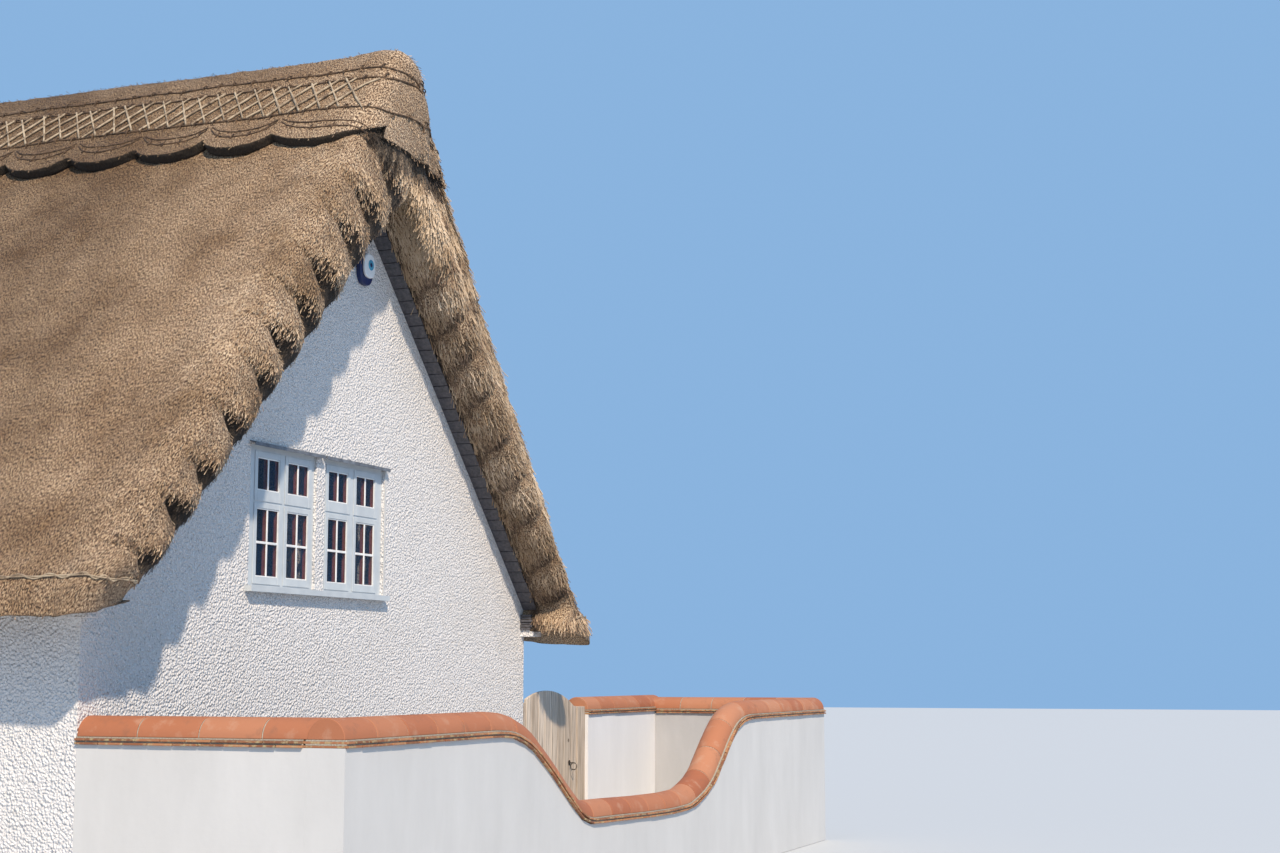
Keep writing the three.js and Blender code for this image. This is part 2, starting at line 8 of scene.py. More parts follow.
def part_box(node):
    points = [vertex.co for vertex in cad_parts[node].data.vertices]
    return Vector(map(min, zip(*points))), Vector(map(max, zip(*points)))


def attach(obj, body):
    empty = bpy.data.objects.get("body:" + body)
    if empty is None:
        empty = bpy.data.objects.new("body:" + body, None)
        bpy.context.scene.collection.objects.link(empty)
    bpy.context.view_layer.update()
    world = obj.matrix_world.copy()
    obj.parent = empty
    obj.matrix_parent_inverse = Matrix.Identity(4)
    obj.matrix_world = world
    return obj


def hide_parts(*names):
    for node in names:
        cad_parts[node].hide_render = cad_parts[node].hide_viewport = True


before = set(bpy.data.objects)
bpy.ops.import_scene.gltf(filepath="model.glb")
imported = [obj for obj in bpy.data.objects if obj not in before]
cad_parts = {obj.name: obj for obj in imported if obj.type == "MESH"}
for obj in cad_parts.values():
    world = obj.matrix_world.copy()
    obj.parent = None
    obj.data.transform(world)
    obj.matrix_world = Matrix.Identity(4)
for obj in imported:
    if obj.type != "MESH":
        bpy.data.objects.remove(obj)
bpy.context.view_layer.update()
chance = np.random.default_rng(1876)

# Gable and long walls
# Brick walls under a lime roughcast: pea shingle thrown wet at the wall and limewashed white,
# so the face is a field of rounded lumps about 18 mm apart that catch the sun on one side.

gable_face = -0.15
rear_face = 9.15
half_house = 3.1
wall_nodes = ["front_gable_wall", "rear_gable_wall", "left_wall", "right_wall"]
lump_spacing = 0.018
lump_height = 0.017
grit_size = 0.007
painted_pit_spacing = 0.03
stains_per_metre = 1.3
limewash = "#fbf9f7"
# Painted shade: the hollow tone darkens the limewash between the lumps and the pit tone paints small grey
# dots
hollow_painted_shade = "#e4e2e1"
pit_painted_shade = "#8d8b8c"
weather_stain = "#d3cfc8"


def linear(colour):
    """An sRGB hex colour as linear RGBA."""
    shares = [int(colour[i:i + 2], 16) / 255 for i in (1, 3, 5)]
    return [c / 12.92 if c <= 0.04045 else ((c + 0.055) / 1.055) ** 2.4 for c in shares] + [1.0]


def add_node(material, kind, settings=None, links=None):
    """A shader node with its settings made and its inputs linked."""
    node = material.node_tree.nodes.new("ShaderNode" + kind)
    for name, value in (settings or {}).items():
        if name == "stops":
            while len(node.color_ramp.elements) < len(value):
                node.color_ramp.elements.new(0.5)
            for element, (place, colour) in zip(node.color_ramp.elements, value):
                element.position = place
                element.color = linear(colour)
        elif isinstance(name, str) and hasattr(node, name):
            setattr(node, name, value)
        else:
            node.inputs[name].default_value = value
    for name, socket in (links or {}).items():
        material.node_tree.links.new(socket, node.inputs[name])
    return node


def new_material(name, roughness, metallic=0.0, **shader):
    """A material with its surface shader and output. Returns it with the shader."""
    material = bpy.data.materials.new(name)
    material.use_nodes = True
    material.node_tree.nodes.clear()
    surface = add_node(material, "BsdfPrincipled", {"Roughness": roughness, "Metallic": metallic, **shader})
    add_node(material, "OutputMaterial", {}, {"Surface": surface.outputs["BSDF"]})
    return material, surface


def show(material, surface, colour, relief=None):
    """Gives a surface shader its colour and, where there is one, its relief."""
    material.node_tree.links.new(colour.outputs["Color"], surface.inputs["Base Color"])
    if relief:
        material.node_tree.links.new(relief.outputs["Normal"], surface.inputs["Normal"])


def tint(material, under, tone, share, low, high, most):
    """Lays a tone over a colour as the share goes from low to high, to the most of it."""
    amount = add_node(
        material, "MapRange", {"From Min": low, "From Max": high, "To Max": most}, {"Value": share})
    return add_node(
        material, "MixRGB", {"Color2": linear(tone)},
        {"Fac": amount.outputs[0], "Color1": under.outputs["Color"]})


def dress(node_name, material):
    """Gives a CAD node its finish."""
    for material_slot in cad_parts[node_name].material_slots:
        material_slot.material = material


# Limewashed roughcast: dull white with faint stains in patches. The hollows between the lumps are painted
# darker as shade, so the lumps read brightest, and small grey dots of painted shade are scattered among them.
# Its shingle is 6 to 10 mm and is drawn as lumps about twice as coarse, so that they show
roughcast, surface = new_material("limewashed_roughcast", 0.93)
place = add_node(roughcast, "TexCoord").outputs["Object"]
lumps = add_node(
    roughcast, "TexVoronoi", {"feature": "SMOOTH_F1", "Scale": 1 / lump_spacing, "Smoothness": 0.25},
    {"Vector": place})
# Painted shade: the spots where small grey dots are painted
painted_pit_spots = add_node(roughcast, "TexVoronoi", {"feature": "F1", "Scale": 1 / painted_pit_spacing}, {"Vector": place})
grit = add_node(roughcast, "TexNoise", {"Scale": 0.45 / grit_size, "Detail": 4.0}, {"Vector": place})
heights = add_node(
    roughcast, "Math", {"operation": "MULTIPLY_ADD", 1: -1.0},
    {0: lumps.outputs["Distance"], 2: grit.outputs["Fac"]})
relief = add_node(
    roughcast, "Bump", {"Strength": 1.0, "Distance": lump_height}, {"Height": heights.outputs[0]})
# Painted shade: the limewash is painted darker in the hollows between the lumps
painted_hollow_shading = add_node(
    roughcast, "ValToRGB", {"stops": [(0.05, hollow_painted_shade), (0.35, limewash)]},
    {"Fac": heights.outputs[0]})
patches = add_node(
    roughcast, "TexNoise", {"Scale": stains_per_metre, "Detail": 5.0, "Roughness": 0.6}, {"Vector": place})
stained = tint(roughcast, painted_hollow_shading, weather_stain, patches.outputs["Fac"], 0.52, 0.8, 0.35)
# Painted shade: small grey dots laid over the stained limewash
painted_pit_shading = tint(roughcast, stained, pit_painted_shade, painted_pit_spots.outputs["Distance"], 0.25, 0.13, 0.5)
show(roughcast, surface, painted_pit_shading, relief)
for node_name in wall_nodes:
    dress(node_name, roughcast)

# Floors
# The ground floor is paved with square stone flags and the attic floor is scrubbed boards.
# Both only show through the panes, so they stay flat.

flag_size = 0.45
flag_joint = 0.006
floor_board_length = 3.2
floor_board_width = 0.14
floor_board_joint = 0.003


def laid_floor(name, roughness, tones, joint_tone, length, width, joint):
    """A floor finish of flags or boards of two tones, laid in rows with open joints."""
    material, surface = new_material(name, roughness)
    place = add_node(material, "TexCoord").outputs["Object"]
    laid = add_node(
        material, "TexBrick",
        {"Color1": linear(tones[0]), "Color2": linear(tones[1]), "Mortar": linear(joint_tone),
         "Scale": 1.0, "Brick Width": length, "Row Height": width, "Mortar Size": joint},
        {"Vector": place})
    show(material, surface, laid)
    return material


# Sawn stone: dull, in two close greys with darker joints
dress("ground_floor", laid_floor(
    "stone_flags", 0.8, ("#8d867a", "#9c9486"), "#6b665d", flag_size, flag_size, flag_joint))
# Scrubbed softwood: bare brown boards with near black joints
dress("upper_floor", laid_floor(
    "scrubbed_floor_boards", 0.75, ("#8a6f52", "#7a6148"), "#3b2f24",
    floor_board_length, floor_board_width, floor_board_joint))

# Verge undercloak
# Two courses of dark slate bedded in lime mortar on each gable's slope, breaking joint and reaching
# 130 mm past the wall. They close the underside of the verge and carry the first straw.

under_fall = 0.97
rake_angle = math.atan(under_fall)
gable_apex_height = 5.1985
undercloak_reach = 0.13
slate_pitch = 0.12
slate_joint = 0.006
slate_width = slate_pitch - slate_joint
slate_length = 0.24
slate_thickness = 0.011
course_lifts = [0.0, slate_thickness + 0.001]
course_setbacks = [0.0, 0.009]
bed_foot, bed_top = 0.024, 0.0315
bed_setback = 0.02
bed_depth = 0.29
rake_length = half_house / math.cos(rake_angle)
kneeler_top = 2.0345
packing_count = 6
packing_pitch = 0.0225
packing_thickness = 0.019
packing_reach = 0.108
packing_width = 0.075


def start_fresh():
    """Leaves nothing selected, so that an operator only meets the piece in hand."""
    if bpy.context.object and bpy.context.object.mode != "OBJECT":
        bpy.ops.object.mode_set(mode="OBJECT")
    bpy.ops.object.select_all(action="DESELECT")


def block(low, high, ease=0.003, segments=2):
    """A squared block between two corners with its arrises eased."""
    start_fresh()
    low, high = Vector(low), Vector(high)
    bpy.ops.mesh.primitive_cube_add(size=1, location=(low + high) / 2, scale=high - low)
    bpy.ops.object.transform_apply(location=True, rotation=True, scale=True)
    bpy.ops.object.mode_set(mode="EDIT")
    bpy.ops.mesh.select_all(action="SELECT")
    bpy.ops.mesh.bevel(offset=ease, segments=segments, affect="EDGES")
    bpy.ops.object.mode_set(mode="OBJECT")
    return bpy.context.object


def copy_at(piece, matrix):
    """A copy of a piece with its own mesh, placed by a matrix."""
    twin = bpy.data.objects.new(piece.name, piece.data.copy())
    bpy.context.scene.collection.objects.link(twin)
    twin.data.transform(matrix)
    return twin


def take_up(*pieces):
    """Leaves only these pieces selected, with the first of them active."""
    start_fresh()
    for piece in pieces:
        piece.select_set(True)
    bpy.context.view_layer.objects.active = pieces[0]


def joined(pieces):
    """Several pieces as one mesh."""
    take_up(*pieces)
    bpy.ops.object.join()
    return bpy.context.object


def hand_over(piece, name, material, body="cottage", replaced=()):
    """Names a finished piece, gives it its material and slot, and lets it ride on its body.
    The CAD nodes that it replaces are hidden."""
    piece.name = name
    piece.data.name = name
    piece.data.materials.clear()
    piece.data.materials.append(material)
    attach(piece, body)
    if replaced:
        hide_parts(*replaced)


def mottled(name, roughness, stops, patches, metallic=0.0, relief=None, **shader):
    """A finish whose colour follows a fine mottling on the piece, from its first stop to its last.
    The patches are given as how many there are in a metre, their detail and how broken they are,
    and the relief as its strength and its depth in metres."""
    material, surface = new_material(name, roughness, metallic, **shader)
    place = add_node(material, "TexCoord").outputs["Object"]
    per_metre, detail, broken = patches
    mottle = add_node(
        material, "TexNoise", {"Scale": per_metre, "Detail": detail, "Roughness": broken},
        {"Vector": place}).outputs["Fac"]
    tone = add_node(material, "ValToRGB", {"stops": stops}, {"Fac": mottle})
    bump = relief and add_node(
        material, "Bump", {"Strength": relief[0], "Distance": relief[1]}, {"Height": mottle})
    show(material, surface, tone, bump)
    return material


# Riven slate: near black when shaded, with a grey bloom and fine layers
slate = mottled(
    "riven_slate", 0.62, [(0.3, "#3b3a3c"), (0.55, "#55545a"), (0.8, "#6f6c6a")], (38.0, 6.0, 0.65),
    relief=(0.5, 0.003))

# Lime mortar: pale, gritty and matt, its sand drawn coarse enough to show
mortar = mottled(
    "lime_mortar", 0.95, [(0.3, "#857c6e"), (0.7, "#bdb4a4")], (120.0, 5.0, 0.5), relief=(0.6, 0.004))

for end, face, outward in (("front", gable_face, -1), ("rear", rear_face, 1)):
    laid = []
    pattern = block(
        (-slate_width / 2, -slate_length / 2, 0.0005),
        (slate_width / 2, slate_length / 2, slate_thickness), 0.0015, 1)
    for side in (-1, 1):
        turn = Matrix.Rotation(side * rake_angle, 4, "Y")
        for lift, setback in zip(course_lifts, course_setbacks):
            first = slate_pitch / 2 + (lift > 0) * slate_pitch / 2
            for along in np.arange(first, rake_length - slate_pitch / 3, slate_pitch):
                wander = chance.normal(0, 0.0025)
                spot = (side * along * math.cos(rake_angle),
                        face + outward * (undercloak_reach - setback - slate_length / 2 + wander),
                        gable_apex_height - along * math.sin(rake_angle))
                tilt = Matrix.Rotation(chance.normal(0, 0.006), 4, "X")
                raised = Matrix.Translation((0, 0, lift))
                laid.append(copy_at(pattern, Matrix.Translation(spot) @ turn @ raised @ tilt))
    bpy.data.objects.remove(pattern)
    hand_over(joined(laid), f"{end}_undercloak_slates", slate, replaced=[f"{end}_undercloak"])
    beds = []
    for side in (-1, 1):
        near, far = sorted((face + outward * (undercloak_reach - bed_setback), face - outward * bed_depth))
        bed = block((0, near, bed_foot), (rake_length, far, bed_top), 0.002, 1)
        if side < 0:
            bed.data.transform(Matrix.Translation((-rake_length, 0, 0)))
        spot = Matrix.Translation((0, 0, gable_apex_height))
        bed.data.transform(spot @ Matrix.Rotation(side * rake_angle, 4, "Y"))
        beds.append(bed)
    hand_over(joined(beds), f"{end}_undercloak_mortar", mortar)

# Dark slate packings stand on each kneeler stone and take up the foot of the undercloak
packings = []
for face, outward in ((gable_face, -1), (rear_face, 1)):
    for side in (-1, 1):
        for layer in range(packing_count):
            reach = packing_reach + chance.uniform(-0.012, 0.012)
            near, far = sorted((face + outward * reach, face - outward * 0.02))
            inner, outer = sorted((side * (half_house - packing_width + chance.uniform(-0.008, 0.008)),
                                   side * (half_house - 0.001)))
            foot = kneeler_top + layer * packing_pitch
            packings.append(block((inner, near, foot), (outer, far, foot + packing_thickness), 0.002, 1))
hand_over(joined(packings), "kneeler_packings", slate)

# Thatch coats
# Long straw laid in courses from the eaves to the ridge, about a third of a metre thick at the foot.
# At each gable it is rolled over the verge in overlapping bunches, each with its shaggy end down the rake.

thatch_fall = 1.19
thatch_line = 6.355
thatch_crown = 6.2
shoulder_x = 3.42
tip_x, tip_z = 3.615, 1.965
under_apex = 5.2436
wall_x = half_house + 0.002
soffit_z = 2.067
verge_reach = 0.5
verge_squareness = 0.62
slate_drop = 0.034
row_step = 0.029
eaves_rows, eaves_run = 13, 0.385
soffit_rows, soffit_run = 8, 0.52
eaves_turn = 5.2
half_way = (gable_face + rear_face) / 2
hood_foot = 5.47
bunch_depth = 0.11
bunch_sink = 0.06
# How far down from the ridge line each verge bunch ends, on the left and on the right slope
first_bunch = 0.6
bunch_ends = {
    -1: [1.15, 1.59, 1.96, 2.43, 2.78, 3.15, 3.50, 3.95, 4.38, 4.75, 5.17],
    1: [1.33, 1.75, 2.10, 2.48, 2.95, 3.37, 3.78, 4.26, 4.68, 5.0],
}
slope_factor = math.hypot(1, thatch_fall)
foot_rounding = 0.16
eaves_settling = (0.075, 0, 0.055)
# Counts of loose straws, most where they are seen from near, and their lengths and widths
slope_straws = {-1: 49000, 1: 24000}
verge_straws = {("front", -1): 16000, ("front", 1): 24000, ("rear", -1): 5000, ("rear", 1): 5000}
slope_straw_size = (0.036, 0.005)
rolled_straw_size = (0.055, 0.005)
plain_straw_size = (0.1, 0.0065)


def slope_stations(x):
    """For each x on the slope: outer x and z, underside x and z, drop past the slates, distance."""
    crown = (thatch_line - thatch_crown) / thatch_fall
    outer_z = thatch_line - thatch_fall * np.hypot(x, crown)
    inner_x = x * wall_x / shoulder_x
    inner_z = under_apex - under_fall * inner_x
    return np.stack([x, outer_z, inner_x, inner_z, np.ones_like(x), x * slope_factor], -1)


def coat_rows():
    """Stations from the ridge down the slope, round the eaves and in along the soffit."""
    rows = list(slope_stations(np.linspace(0, shoulder_x, round(shoulder_x * slope_factor / row_step))))
    shoulder = rows[-1]
    for i in range(1, eaves_rows + 1):
        t = i / eaves_rows
        bulge = 0.03 * math.sin(math.pi * t)
        rows.append((shoulder[0] + (tip_x - shoulder[0]) * t + bulge,
                     shoulder[1] + (tip_z - shoulder[1]) * t, wall_x,
                     shoulder[3] + (soffit_z - shoulder[3]) * t, 1.0 - t, shoulder[5] + eaves_run * t))
    tip = rows[-1]
    for i in range(1, soffit_rows + 1):
        t = 0.97 * i / soffit_rows
        rows.append((tip[0] + (wall_x - tip[0]) * t, tip[1] + (soffit_z - tip[1]) * t,
                     wall_x, soffit_z, 0.0, tip[5] + soffit_run * t))
    return np.array(rows)[:, None, :]


def coat_columns():
    """Stations round the coat: distance past the gable's face, share of the thickness, drop."""
    middle = (gable_face - rear_face) / 2
    half = [(past, 1.0, 0.0) for past in np.arange(middle, -0.34, 0.07)]
    half += [(past, 1.0, 0.0) for past in np.linspace(-0.33, 0.26, 18)]
    for angle in np.radians(np.linspace(78, -90, 29)):
        share = 0.5 + 0.5 * np.sign(math.sin(angle)) * abs(math.sin(angle)) ** verge_squareness
        base = 0.36 - 0.08 * share
        past = base + (verge_reach - base) * math.cos(angle) ** verge_squareness
        half.append((past, share, slate_drop * (1 - share)))
    half += [(past, 0.0, slate_drop) for past in (0.29, 0.21, 0.14)]
    half += [(past, 0.0, 0.0) for past in (0.133, 0.0, -0.31, -1.5, -3.0, middle)]
    front = [(gable_face - past, share, drop, past) for past, share, drop in half]
    rear = [(rear_face + past, share, drop, past) for past, share, drop in reversed(half)]
    return np.array(front + rear[1:-1])


def coat_grid(side, rows, columns):
    """Points of a coat for every row down the slope and every column round it."""
    outer, inner = rows[..., 0:2], rows[..., 2:4]
    across = outer - inner
    unit = across / np.linalg.norm(across, axis=2, keepdims=True)
    share = columns[None, :, 1, None]
    drop = columns[None, :, 2, None] * rows[..., 4, None]
    section = inner + across * share - unit * drop
    y = np.broadcast_to(columns[None, :, 0], section.shape[:2])
    return np.stack([side * section[..., 0], y, section[..., 1]], axis=2)


def grid_frames(points, side, closed=True):
    """Outward normals of a coat's grid and the directions down its rows."""
    down = np.gradient(points, axis=0)
    around = np.gradient(points, axis=1)
    if closed:
        around = np.roll(points, -1, axis=1) - np.roll(points, 1, axis=1)
    normals = np.cross(around, down) * side
    normals /= np.linalg.norm(normals, axis=2, keepdims=True) + 1e-9
    down /= np.linalg.norm(down, axis=2, keepdims=True) + 1e-9
    return normals, down


def smooth_step(value, low, high):
    """From 0 to 1 as a value goes from low to high, level at both ends."""
    t = np.clip((value - low) / (high - low), 0, 1)
    return t * t * (3 - 2 * t)


def soft_noise(points, size, seed):
    """Smooth noise of about -1 to 1 at the given grain in metres, from a seeded lattice."""
    lattice = np.random.default_rng(seed).uniform(-1, 1, (32, 32, 32))
    spot = points / size
    cell = np.floor(spot).astype(int)
    t = spot - cell
    t = t * t * (3 - 2 * t)
    total = 0
    for corner in np.ndindex(2, 2, 2):
        weight = np.prod(np.where(np.array(corner) == 1, t, 1 - t), axis=-1)
        index = (cell + corner) % 32
        total = total + weight * lattice[index[..., 0], index[..., 1], index[..., 2]]
    return total


def square_distance(points):
    """How far below the ridge line points lie, measured square to the lie of the verge bunches."""
    return (np.abs(points[..., 0]) + (thatch_line - points[..., 2]) * thatch_fall) / slope_factor


def bunch_relief(points, distance, past_face, share, rolled, seed):
    """The verge bunches: each swells down the rake and ends in a face of cut straw. On a rolled verge the
    faces open as pockets towards the wall, on the other they run round the verge as bands. Returns the
    relief, the painted shade of the cut faces and of the crease under the verge, and how far down its bunch
    each point is."""
    draw = np.random.default_rng(seed)
    ends = np.array([0.0] + bunch_ends[-1 if rolled else 1] + [6.5])
    swell = draw.uniform(0.85, 1.15, len(ends))
    below = square_distance(points)
    if rolled:
        pocket_top = np.interp(below, ends, draw.uniform(0.5, 0.86, len(ends)))
    else:
        pocket_top = 1.05
    opening = np.clip((pocket_top - share) / pocket_top, 0, 1)
    # the ends are drawn off line by a broad ripple, a fine raggedness and a slant towards the wall
    seeds = np.full_like(distance, seed)
    ripple = soft_noise(np.stack([seeds, past_face + share, share], -1), 0.16, seed)
    ragged = soft_noise(np.stack([past_face, share * 0.5, seeds], -1), 0.035, seed + 1)
    slant = 0.07 * opening if rolled else 0.45 * opening - 0.5 * (past_face - 0.25)
    shifted = below + (0.04 if rolled else 0.07) * ripple + 0.012 * ragged - slant
    # each bunch swells quickly from its start and falls away over its cut face
    k = np.clip(np.searchsorted(ends, shifted) - 1, 0, len(ends) - 2)
    below_start, above_end = shifted - ends[k], ends[k + 1] - shifted
    face = 0.05 + 0.24 * opening if rolled else 0.14 + 0.08 * opening
    rise = 1 - np.exp(-np.maximum(below_start, 0) / 0.06)
    fall = smooth_step(above_end / face, 0, 1)
    cut = 1 - above_end / face
    if rolled:
        strength = (0.35 + 0.65 * smooth_step(opening, 0, 0.4)) * (1 - 0.7 * smooth_step(share, 0.8, 0.97))
        strength = strength * (0.3 + 0.7 * smooth_step(share, 0.12, 0.4))
        # Painted shade: the rolled verge's cut faces and pockets, darkened as if in their own shadow
        cut_face_painted_shade = smooth_step(cut, 0.05, 0.3) * smooth_step(opening, 0, 0.12)
    else:
        strength = 0.2 * (1 - 0.85 * smooth_step(share, 0.3, 0.6))
        # Painted shade: a dark band over each bunch's lower end, as if shaded by its overhanging straw
        cut_face_painted_shade = (0.75 + 0.3 * ripple) * smooth_step(cut, -0.9, 1.0) * smooth_step(opening, 0.02, 0.3)
    # all of it fades out towards the wall, the ridge and the eaves
    reach = np.where(share > 0.5, smooth_step(past_face, 0.26, 0.42), smooth_step(past_face, 0.12, 0.25))
    live = smooth_step(below, 0.45, 0.75) * smooth_step(distance, 0.0, 0.15)
    live = live * (1 - smooth_step(distance, eaves_turn, 5.45))
    relief = (bunch_depth * rise * fall * swell[k] - bunch_sink) * reach * strength
    # Painted shade: a dark line along the underside where it meets the slates
    crease_painted_shade = 0.85 * (share < 0.01) * (1 - smooth_step(past_face, 0.14, 0.26)) * (past_face > 0.1)
    return relief * live, np.maximum(cut_face_painted_shade * reach * live, crease_painted_shade), below_start / (ends[k + 1] - ends[k])


def slack(side, y, past_face, share, distance):
    """How much leaner the shoulder of a plain verge is than that of a rolled one."""
    plain = (y < half_way) == (side > 0)
    shoulder = smooth_step(past_face, 0.3, 0.44) * smooth_step(share, 0.15, 0.6)
    on_slope = smooth_step(distance, 0.1, 0.6) * (1 - smooth_step(distance, eaves_turn, 5.5))
    return 0.12 * plain * shoulder * on_slope


def waves(points, round_run, distance, side):
    """The small waves of a laid coat: broad ones, ones combed down the straw, and fine ones."""
    combed_points = np.stack([round_run, distance * 0.35, np.full_like(distance, side)], -1)
    return (0.016 * soft_noise(points, 0.45, 5) + 0.007 * soft_noise(combed_points, 0.07, 6)
            + 0.007 * soft_noise(points, 0.09, 8))


def settled(points, side, at_front, past_face, distance):
    """The coat as it has worn: the foot of each rolled verge is rounded off towards the wall, and the
    front end of the right eaves has sunk."""
    inward = np.where(at_front, float(side < 0), -float(side > 0))
    rounding = smooth_step(past_face, 0.1, 0.5) * smooth_step(distance, eaves_turn, 5.72)
    points = points + (foot_rounding * inward * rounding)[..., None] * np.array([0, 1.0, 0])
    if side > 0:
        sinking = smooth_step(past_face, -0.4, 0.25) * at_front * smooth_step(distance, eaves_turn, 5.55)
        sinking = sinking * (1 - smooth_step(distance, 5.75, 6.15))
        points = points - sinking[..., None] * np.array(eaves_settling)
    return points


def piece_from(name, points, faces):
    """A piece whose mesh has these points and faces."""
    mesh = bpy.data.meshes.new(name)
    mesh.from_pydata(points.reshape(-1, 3).tolist(), [], faces)
    piece = bpy.data.objects.new(name, mesh)
    bpy.context.scene.collection.objects.link(piece)
    return piece


def grid_piece(name, points):
    """A piece over a grid of points, its columns joined end to end, its first and last rows filled."""
    rows, columns = points.shape[:2]
    i, j = np.meshgrid(np.arange(rows - 1), np.arange(columns), indexing="ij")
    following = (j + 1) % columns
    quads = np.stack([i * columns + j, i * columns + following,
                      (i + 1) * columns + following, (i + 1) * columns + j], -1).reshape(-1, 4)
    ends = [list(range(columns))[::-1], list(range((rows - 1) * columns, rows * columns))]
    return piece_from(name, points, quads.tolist() + ends)


def set_values(piece, name, values):
    """Keeps one number for each vertex, for the piece's material to read."""
    attribute = piece.data.attributes.new(name, "FLOAT", "POINT")
    attribute.data.foreach_set("value", np.asarray(values, np.float32).ravel())


def lay_straw_map(piece, across, down):
    """A UV map in metres with V down the straw, so that the grain follows the surface."""
    layer = piece.data.uv_layers.new(name="straw_run")
    corners = np.zeros(len(piece.data.loops), np.int32)
    piece.data.loops.foreach_get("vertex_index", corners)
    flat = np.stack([across.ravel()[corners], down.ravel()[corners]], -1)
    layer.data.foreach_set("uv", flat.astype(np.float32).ravel())


def face_outwards(piece):
    """Turns every face of a closed piece outwards and shades it smooth."""
    take_up(piece)
    bpy.ops.object.mode_set(mode="EDIT")
    bpy.ops.mesh.select_all(action="SELECT")
    bpy.ops.mesh.normals_make_consistent(inside=False)
    bpy.ops.object.mode_set(mode="OBJECT")
    bpy.ops.object.shade_smooth()


def hang(normals, down, weight):
    """Turns the lie of the straw towards plumb, by weight, without leaving the surface."""
    plumb = normals * normals[..., 2:] - np.array([0, 0, 1.0])
    plumb /= np.linalg.norm(plumb, axis=2, keepdims=True) + 1e-9
    lie = down * (1 - weight[..., None]) + plumb * weight[..., None]
    return lie / (np.linalg.norm(lie, axis=2, keepdims=True) + 1e-9)


def strew(name, grid, weight, count, size, lift, wander, shade=0, painted_light_paling=0):
    """Loose straws: thin three-sided splinters rooted in a coat, their cut ends down the slope. The grid
    has the coat's points, normals and lie. The weight says where they grow. Each straw is darkened by the
    painted shade of the spot that it grows from and paled by the painted light given there."""
    points, normals, down = grid
    long, wide = size
    columns = points.shape[1]
    after = np.roll(points, -1, axis=1)
    cells = np.linalg.norm(np.cross(after[:-1] - points[:-1], points[1:] - points[:-1]), axis=2)
    odds = (cells * weight[:-1]).ravel()
    picked = chance.choice(len(odds), count, p=odds / odds.sum())
    i, j = np.divmod(picked, columns)
    along, aside = chance.random((2, count, 1))
    first = points[i, j] * (1 - aside) + after[i, j] * aside
    second = points[i + 1, j] * (1 - aside) + after[i + 1, j] * aside
    root = first * (1 - along) + second * along
    out, fall = normals[i, j], down[i, j]
    beside = np.cross(out, fall)
    sway = chance.normal(0, wander, (count, 1))
    heading = fall * np.cos(sway) + beside * np.sin(sway)
    square = beside * np.cos(sway) - fall * np.sin(sway)
    raised = np.abs(chance.normal(lift, lift * 0.6, (count, 1)))
    lie = heading * np.cos(raised) + out * np.sin(raised)
    over = np.cross(lie, square)
    length = long * chance.uniform(0.55, 1.35, (count, 1))
    half = wide / 2 * chance.uniform(0.7, 1.3, (count, 1))
    root = root - out * 0.006
    tip = root + lie * length
    corners = np.stack([root, tip + square * half, tip - square * half, tip + over * half * 1.3], 1)
    start = 4 * np.arange(count)[:, None, None]
    faces = (start + np.array([[0, 3, 1], [0, 2, 3], [0, 1, 2], [1, 3, 2]])).reshape(-1, 3)
    piece = piece_from(name, corners, faces.tolist())
    shade, painted_light_paling = (np.broadcast_to(values, points.shape[:2])[i, j] for values in (shade, painted_light_paling))
    # Painted shade and light: each straw's tone is darkened by its spot's painted shade and lifted by its
    # painted light
    tones = (chance.beta(1.7, 1.7, count) + painted_light_paling) * (1 - 0.85 * shade) - 0.25 * shade
    set_values(piece, "tone", np.repeat(tones, 4))
    hand_over(piece, name, straws)


def add_weather(material, place, colour):
    """Weathers a straw colour with blotches, and makes it a little darker towards the rear, palest at the
    front verge.
    """
    blotches = add_node(
        material, "TexNoise", {"Scale": 1.7, "Detail": 6.0, "Roughness": 0.6}, {"Vector": place})
    tone = add_node(
        material, "ValToRGB", {"stops": [(0.35, "#a8977f"), (0.65, "#ffffff")]},
        {"Fac": blotches.outputs["Fac"]})
    blotched = add_node(
        material, "MixRGB", {"blend_type": "MULTIPLY", "Fac": 0.8},
        {"Color1": colour, "Color2": tone.outputs["Color"]})
    parts = add_node(material, "SeparateXYZ", {}, {"Vector": place})
    back_share = add_node(
        material, "MapRange", {"From Min": -0.45, "From Max": 5.0}, {"Value": parts.outputs["Y"]})
    back_tone = add_node(
        material, "ValToRGB",
        {"stops": [(0.0, "#ffffff"), (0.08, "#f2ede6"), (0.23, "#d9d3ca"), (0.5, "#bab2a7"),
                   (1.0, "#aca499")]},
        {"Fac": back_share.outputs[0]})
    return add_node(
        material, "MixRGB", {"blend_type": "MULTIPLY", "Fac": 1.0},
        {"Color1": blotched.outputs["Color"], "Color2": back_tone.outputs["Color"]})


# Weathered long straw: matt and silvery tan, finely flecked along the straw, with painted shade laid on from
# a
# value kept at each point: dark in the verge bunches' pockets and cut faces, under the ridge's hood and on
# its lip.
# A straw is 3 to 5 mm wide and is drawn at 8 mm, so that it shows
straw_width = 0.008
fleck_length = 0.021
straw_dark = "#372c23"
straw_brown = "#8d725b"
straw_tan = "#bca082"
straw_pale = "#e7d1b2"
deep_shade = "#221c16"
thatch, surface = new_material("weathered_long_straw", 0.88)
run = add_node(thatch, "UVMap", {"uv_map": "straw_run"}).outputs["UV"]
combed = add_node(
    thatch, "Mapping", {"Scale": (1 / straw_width, 1 / fleck_length, 1.0)}, {"Vector": run})
flecks = add_node(
    thatch, "TexNoise", {"Scale": 1.0, "Detail": 3.0, "Roughness": 0.62, "noise_dimensions": "2D"},
    {"Vector": combed.outputs["Vector"]})
place = add_node(thatch, "TexCoord").outputs["Object"]
